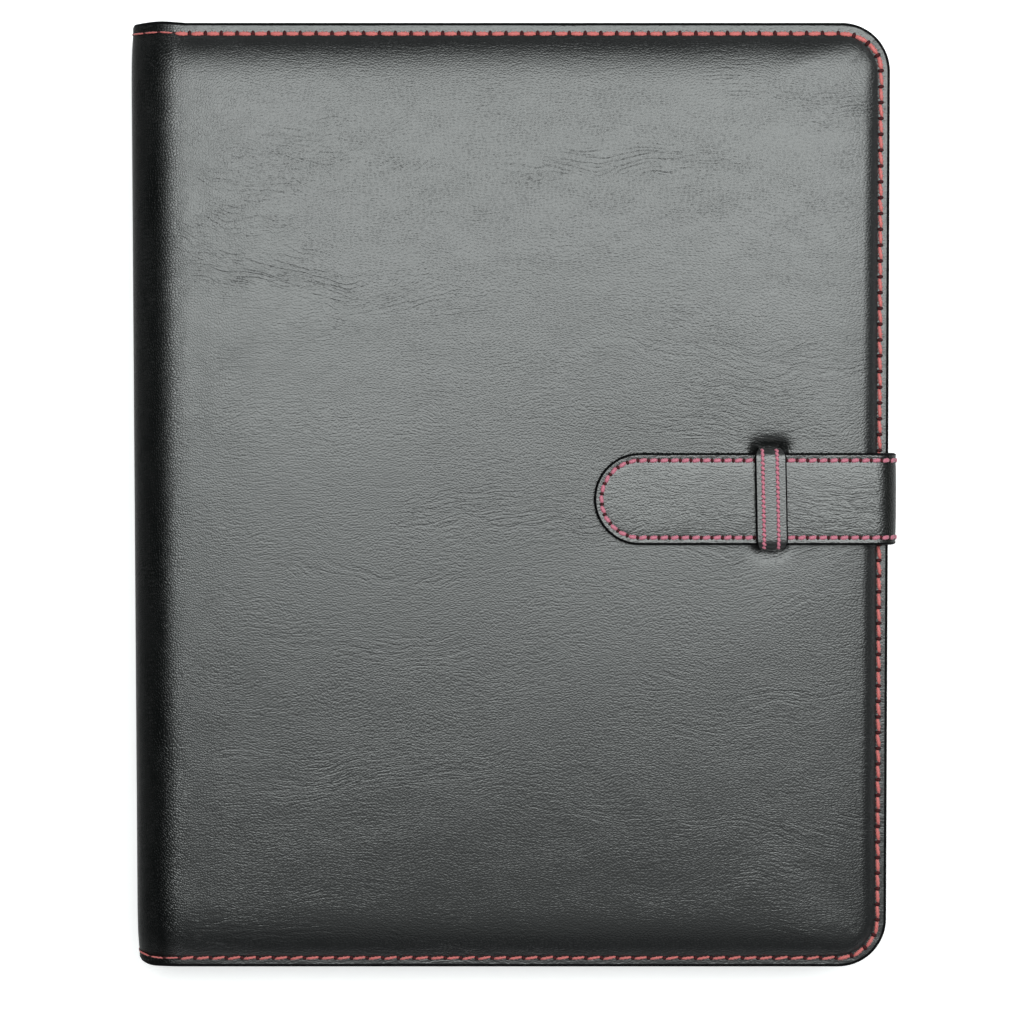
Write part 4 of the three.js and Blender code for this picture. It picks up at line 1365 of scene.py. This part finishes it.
strap_seam_sink = 0.02 * mm
strap_slant, strap_girth = 0.15, 2.2
side_places = 80
seam_v = tip_radius - strap_seam_inset
tip_centre = strap_length - tip_radius
tongue_row = [(p, seam_v) for p in np.linspace(strap_half_way, tip_centre, side_places)]
tongue_row += [(tip_centre + seam_v * math.sin(t), seam_v * math.cos(t))
               for t in np.linspace(0, math.pi, 30)[1:-1]]
tongue_row += [(p, -v) for p, v in tongue_row[:side_places]][::-1]
end_row = strap_seam_inset
box_row = [(p, seam_v) for p in np.linspace(strap_half_way, end_row, side_places)]
box_row += [(end_row, v) for v in np.linspace(seam_v, -seam_v, 12)[1:-1]]
box_row += [(p, -v) for p, v in box_row[:side_places]][::-1]
cross_row = [(anchor_flat - strap_seam_inset, v) for v in np.linspace(seam_v, -seam_v, 12)]
strap_pitch = 3.5 * mm
pink_thread = thread_material("pink_thread", (0.66, 0.19, 0.27))
strap_settings = {
    "Stitch Length": 0.82 * strap_pitch, "Thread Radius": 0.33 * mm, "Dip": 0.3 * mm,
    "Slant Spread": 0.14, "Hole Length": 1.1 * mm, "Hole Width": 0.75 * mm}
for part, rows in (("front", [tongue_row]), ("back", [box_row, cross_row])):
    paths = [(strap_seam_path(row), path_half_stitches(row, strap_pitch)) for row in rows]
    seam = sew(f"strap_{part}_stitches", paths, pink_thread, needle_hole_shade, strap_settings)
    if part == "front":
        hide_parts("strap_tongue_thread")
    else:
        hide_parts("strap_anchor_thread", "strap_side_head_thread", "strap_side_tail_thread")
    bend_strap(seam, part)


# Keeper
# A stiff leather loop that holds the strap down. Its legs go through two slits in the front skin
# and its feet are glued under the foam. Two short rows of stitches run along it.
keeper_width = 10.2 * mm
keeper_band = 1.4 * mm
keeper_shoulder = 3.6 * mm
keeper_lean = -0.022
keeper_step = 0.9 * mm
keeper_rounding = 0.45 * mm
keeper_painted_edge = 0.4 * mm
keeper_crown, crown_half_width = 0.08 * mm, 1.9 * mm
row_places = (-2.65 * mm, 2.1 * mm)
row_pull, row_pull_reach = 0.12 * mm, 0.7 * mm
row_sink = 0.05 * mm
row_stitches = 22
row_slant, row_girth = 0.5, 2.3
unsewn_points = 10
foot_taper = 0.3


def keeper_line():
    """Points (y, z) along the keeper's outer face from one foot to the other, and the way out."""
    leg = np.linspace(keeper_low.z, keeper_high.z - keeper_shoulder, 8)
    side = [(-keeper_half, z, -1, 0) for z in leg[:-1]]
    for t in np.linspace(0, math.pi / 2, 11):
        side.append((-keeper_half + keeper_shoulder * (1 - math.cos(t)),
                     keeper_high.z - keeper_shoulder * (1 - math.sin(t)), -math.cos(t), math.sin(t)))
    across = np.linspace(-keeper_half + keeper_shoulder, keeper_half - keeper_shoulder, 16)
    top = [(y, keeper_high.z, 0, 1) for y in across[1:-1]]
    other_side = [(-y, z, -ny, nz) for y, z, ny, nz in reversed(side)]
    return np.array(side + top + other_side)


line = keeper_line()
across = grid_lines(-keeper_width / 2, keeper_width / 2, keeper_step, strap_edge[:7], strap_edge[:7])
from_border = keeper_width / 2 - np.abs(across)
lift = -row_pull * sum(np.exp(-((across - row) / row_pull_reach) ** 2) for row in row_places)
lift = lift + keeper_crown * np.clip(1 - (across / crown_half_width) ** 2, 0, 1)
lift = lift - rounded_over(from_border, keeper_rounding)
turned_down = np.clip((keeper_half - np.abs(line[:, 0])) / keeper_shoulder, 0, 1)
keeper_taper = 1 - foot_taper * (1 - turned_down) ** 3


def keeper_grid(offset):
    """The band's points, an offset out from its line. It leans, and narrows down its legs."""
    y = line[:, 0:1] + line[:, 2:3] * offset
    z = line[:, 1:2] + line[:, 3:4] * offset
    x = keeper_x + across[None] * keeper_taper[:, None] + keeper_lean * y
    return np.stack(np.broadcast_arrays(x, strap_y + y, z), -1)


run = np.concatenate([[0], np.cumsum(np.hypot(*np.diff(line[:, :2], axis=0).T))])
keeper_place = np.stack(np.broadcast_arrays(across[None], run[:, None]), -1)
keeper_leather = leather("keeper_leather", (0.004, 0.0046, 0.004), 0.32, index=1.65,
                         crinkle_length=1.8, crease_length=7.0, crease_depth=0.03)
keeper_border = quad_middles(np.broadcast_to(from_border, (len(line), len(across))))
keeper = solid_sheet("keeper_band", keeper_grid(lift[None]), keeper_grid(-keeper_band), keeper_place,
                     keeper_leather, rim=bead, edge_material=edge_paint,
                     edge_mask=keeper_border < keeper_painted_edge)
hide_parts("keeper_loop")
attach(keeper, "front_cover")

keeper_rows = []
sewn = line[unsewn_points:-unsewn_points]
for row in row_places:
    points = np.stack([keeper_x + row + keeper_lean * sewn[:, 0], strap_y + sewn[:, 0], sewn[:, 1]], -1)
    outs = np.stack([0 * sewn[:, 0], sewn[:, 2], sewn[:, 3]], -1)
    slants, girths = [row_slant] * len(points), [row_girth] * len(points)
    path = seam_path(points - outs * row_sink, outs, slants, girths)
    keeper_rows.append((path, 2 * row_stitches))
seam = sew("keeper_stitches", keeper_rows, pink_thread, needle_hole_shade, {
    "Stitch Length": 1.8 * mm, "Thread Radius": 0.24 * mm, "Dip": 0.2 * mm,
    "Slant Spread": 0.6, "Hole Length": 0.5 * mm, "Hole Width": 0.6 * mm})
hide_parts("keeper_thread")
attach(seam, "front_cover")


# Binding strip
# A black moulded bar that the pockets are welded to. It has one rib for each leaf along its face.
def plastic_material():
    """Black plastic with a fine moulded texture."""
    material, tree, shader = new_material("binding_plastic")
    texture = object_noise(tree, 2600.0, 2.0)
    uneven_gloss(tree, shader, texture, 0.35, 0.55)
    bumped(tree, shader, texture, 0.03 * mm)
    shader.inputs["Base Color"].default_value = (0.012, 0.012, 0.013, 1)
    return material


leaf_count = 10
strip_low, strip_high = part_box("binding_strip")
leaf_bases = [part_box(f"pocket_{n:02d}_back_film")[0].z for n in range(1, leaf_count + 1)]
film_middle = 0.1 * mm
rib_reach = 0.35 * mm
rib_half = 0.4 * mm
strip_round = 0.9 * mm


def strip_outline():
    """The bar's section (x, z): a rounded bar with ribs on its face."""
    def corner(x, z, first):
        turns = np.linspace(first, first + math.pi / 2, 6)
        return [(x + strip_round * math.cos(t), z + strip_round * math.sin(t)) for t in turns]

    left, right = strip_low.x + strip_round, strip_high.x - strip_round
    low, high = strip_low.z + strip_round, strip_high.z - strip_round
    outline = corner(left, low, math.pi) + corner(right, low, 1.5 * math.pi)
    for base in sorted(leaf_bases):
        for reach, rise in ((0, -1), (0.8, -0.6), (1, 0), (0.8, 0.6), (0, 1)):
            outline.append((strip_high.x + reach * rib_reach, base + film_middle + rise * rib_half))
    return np.array(outline + corner(right, high, 0.0) + corner(left, high, math.pi / 2))


outline = strip_outline()
centre = np.array([(strip_low.x + strip_high.x) / 2, (strip_low.z + strip_high.z) / 2])
rounded_ends = [(0.0, 0.88), (0.25 * mm, 0.97), (0.8 * mm, 1.0)]
stations = [(strip_low.y + inset, scale) for inset, scale in rounded_ends]
stations += [(y, 1.0) for y in np.linspace(strip_low.y, strip_high.y, 13)[1:-1]]
stations += [(strip_high.y - inset, scale) for inset, scale in rounded_ends[::-1]]
count = len(outline)
points = []
for y, scale in stations:
    ring = centre + (outline - centre) * scale
    points += [(x, y, z) for x, z in ring]
faces = []
for first in range(0, (len(stations) - 1) * count, count):
    for k in range(count):
        after = (k + 1) % count
        faces.append((first + k, first + count + k, first + count + after, first + after))
faces.append(tuple(range(count)))
faces.append(tuple(range(len(stations) * count - 1, (len(stations) - 1) * count - 1, -1)))
mesh = bpy.data.meshes.new("binding_bar")
mesh.from_pydata(points, [], faces)
mesh.materials.append(plastic_material())
mesh.update()
bar = bpy.data.objects.new("binding_bar", mesh)
scene.collection.objects.link(bar)
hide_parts("binding_strip")
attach(bar, "spine")


# Leaves
# Each is a clear pocket of two films, welded together at the binding side, the tail and the fore-edge
# and open at the head, with a black sheet of paper in it. The back film runs on to the binding strip.
def film_material():
    """Clear plastic film with a fine frosted sheen."""
    material, tree, shader = new_material("clear_film")
    haze = object_noise(tree, 60.0, 3.0)
    uneven_gloss(tree, shader, haze, 0.1, 0.22)
    bumped(tree, shader, haze, 0.25 * mm)
    shader.inputs["Base Color"].default_value = (0.93, 0.95, 0.96, 1)
    shader.inputs["Transmission Weight"].default_value = 1.0
    shader.inputs["IOR"].default_value = 1.3
    return material


def paper_material():
    """Black card paper, with its fibres just to be seen."""
    material, tree, shader = new_material("black_paper")
    fibres = object_noise(tree, 900.0, 4.0)
    two_tones(tree, shader, fibres, (0.006, 0.006, 0.007), (0.018, 0.018, 0.02))
    bumped(tree, shader, fibres, 0.06 * mm)
    shader.inputs["Roughness"].default_value = 0.8
    return material


clear_film = film_material()
black_paper = paper_material()
film_thickness = 0.14 * mm
weld_inset = 1.2 * mm
weld_slope = 2.6 * mm
film_rise = 0.78 * mm
film_step = 9 * mm
film_edge = [d * mm for d in (0, 0.5, 0.9, 1.5, 2.2, 3, 4)]
film_gap = 0.03 * mm
between_films = 0.9 * mm
lip_share, mouth_rise = 0.35, 0.1


def film_grids(low, high, is_front):
    """Outer and inner faces of one film. The front film comes down to the back one at its welds, and
    swells most at its open mouth."""
    xs = grid_lines(low.x, high.x, film_step, film_edge, film_edge)
    ys = grid_lines(low.y, high.y, film_step, film_edge, film_edge)
    x, y = np.meshgrid(xs, ys, indexing="ij")
    base = low.z + film_gap
    if is_front:
        base = low.z - between_films + film_gap + film_thickness
        from_weld = np.minimum(np.minimum(x - low.x, high.x - x), y - low.y) - weld_inset
        share = np.clip(np.abs(from_weld) / weld_slope, 0, 1) * np.where(from_weld < 0, lip_share, 1)
        belly = 1 + mouth_rise * np.sin((y - low.y) / (high.y - low.y) * math.pi * 0.5)
        base = base + film_gap + film_rise * eased(share) * belly
    z = base + 0 * x
    top = np.stack([x, y, z + film_thickness], -1)
    return top, np.stack([x, y, z], -1), np.stack([x, y], -1)


def joined(name, pieces):
    """Several meshes made one piece."""
    first = pieces[0]
    first.name = name
    with bpy.context.temp_override(active_object=first, object=first, selected_editable_objects=pieces):
        bpy.ops.object.join()
    return first


root_depth = 0.5 * mm
for number in range(1, leaf_count + 1):
    films = []
    for layer in ("back", "front"):
        low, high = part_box(f"pocket_{number:02d}_{layer}_film")
        if layer == "back":
            low.x = strip_high.x - root_depth
        top, bottom, place = film_grids(low, high, layer == "front")
        films.append(solid_sheet(f"pocket_{number:02d}_{layer}", top, bottom, place, clear_film))
    pocket = joined(f"pocket_{number:02d}", films)
    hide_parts(f"pocket_{number:02d}_back_film", f"pocket_{number:02d}_front_film")
    middle = leaf_bases[number - 1] + film_middle
    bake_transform(pocket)
    give_material(f"insert_sheet_{number:02d}", black_paper)
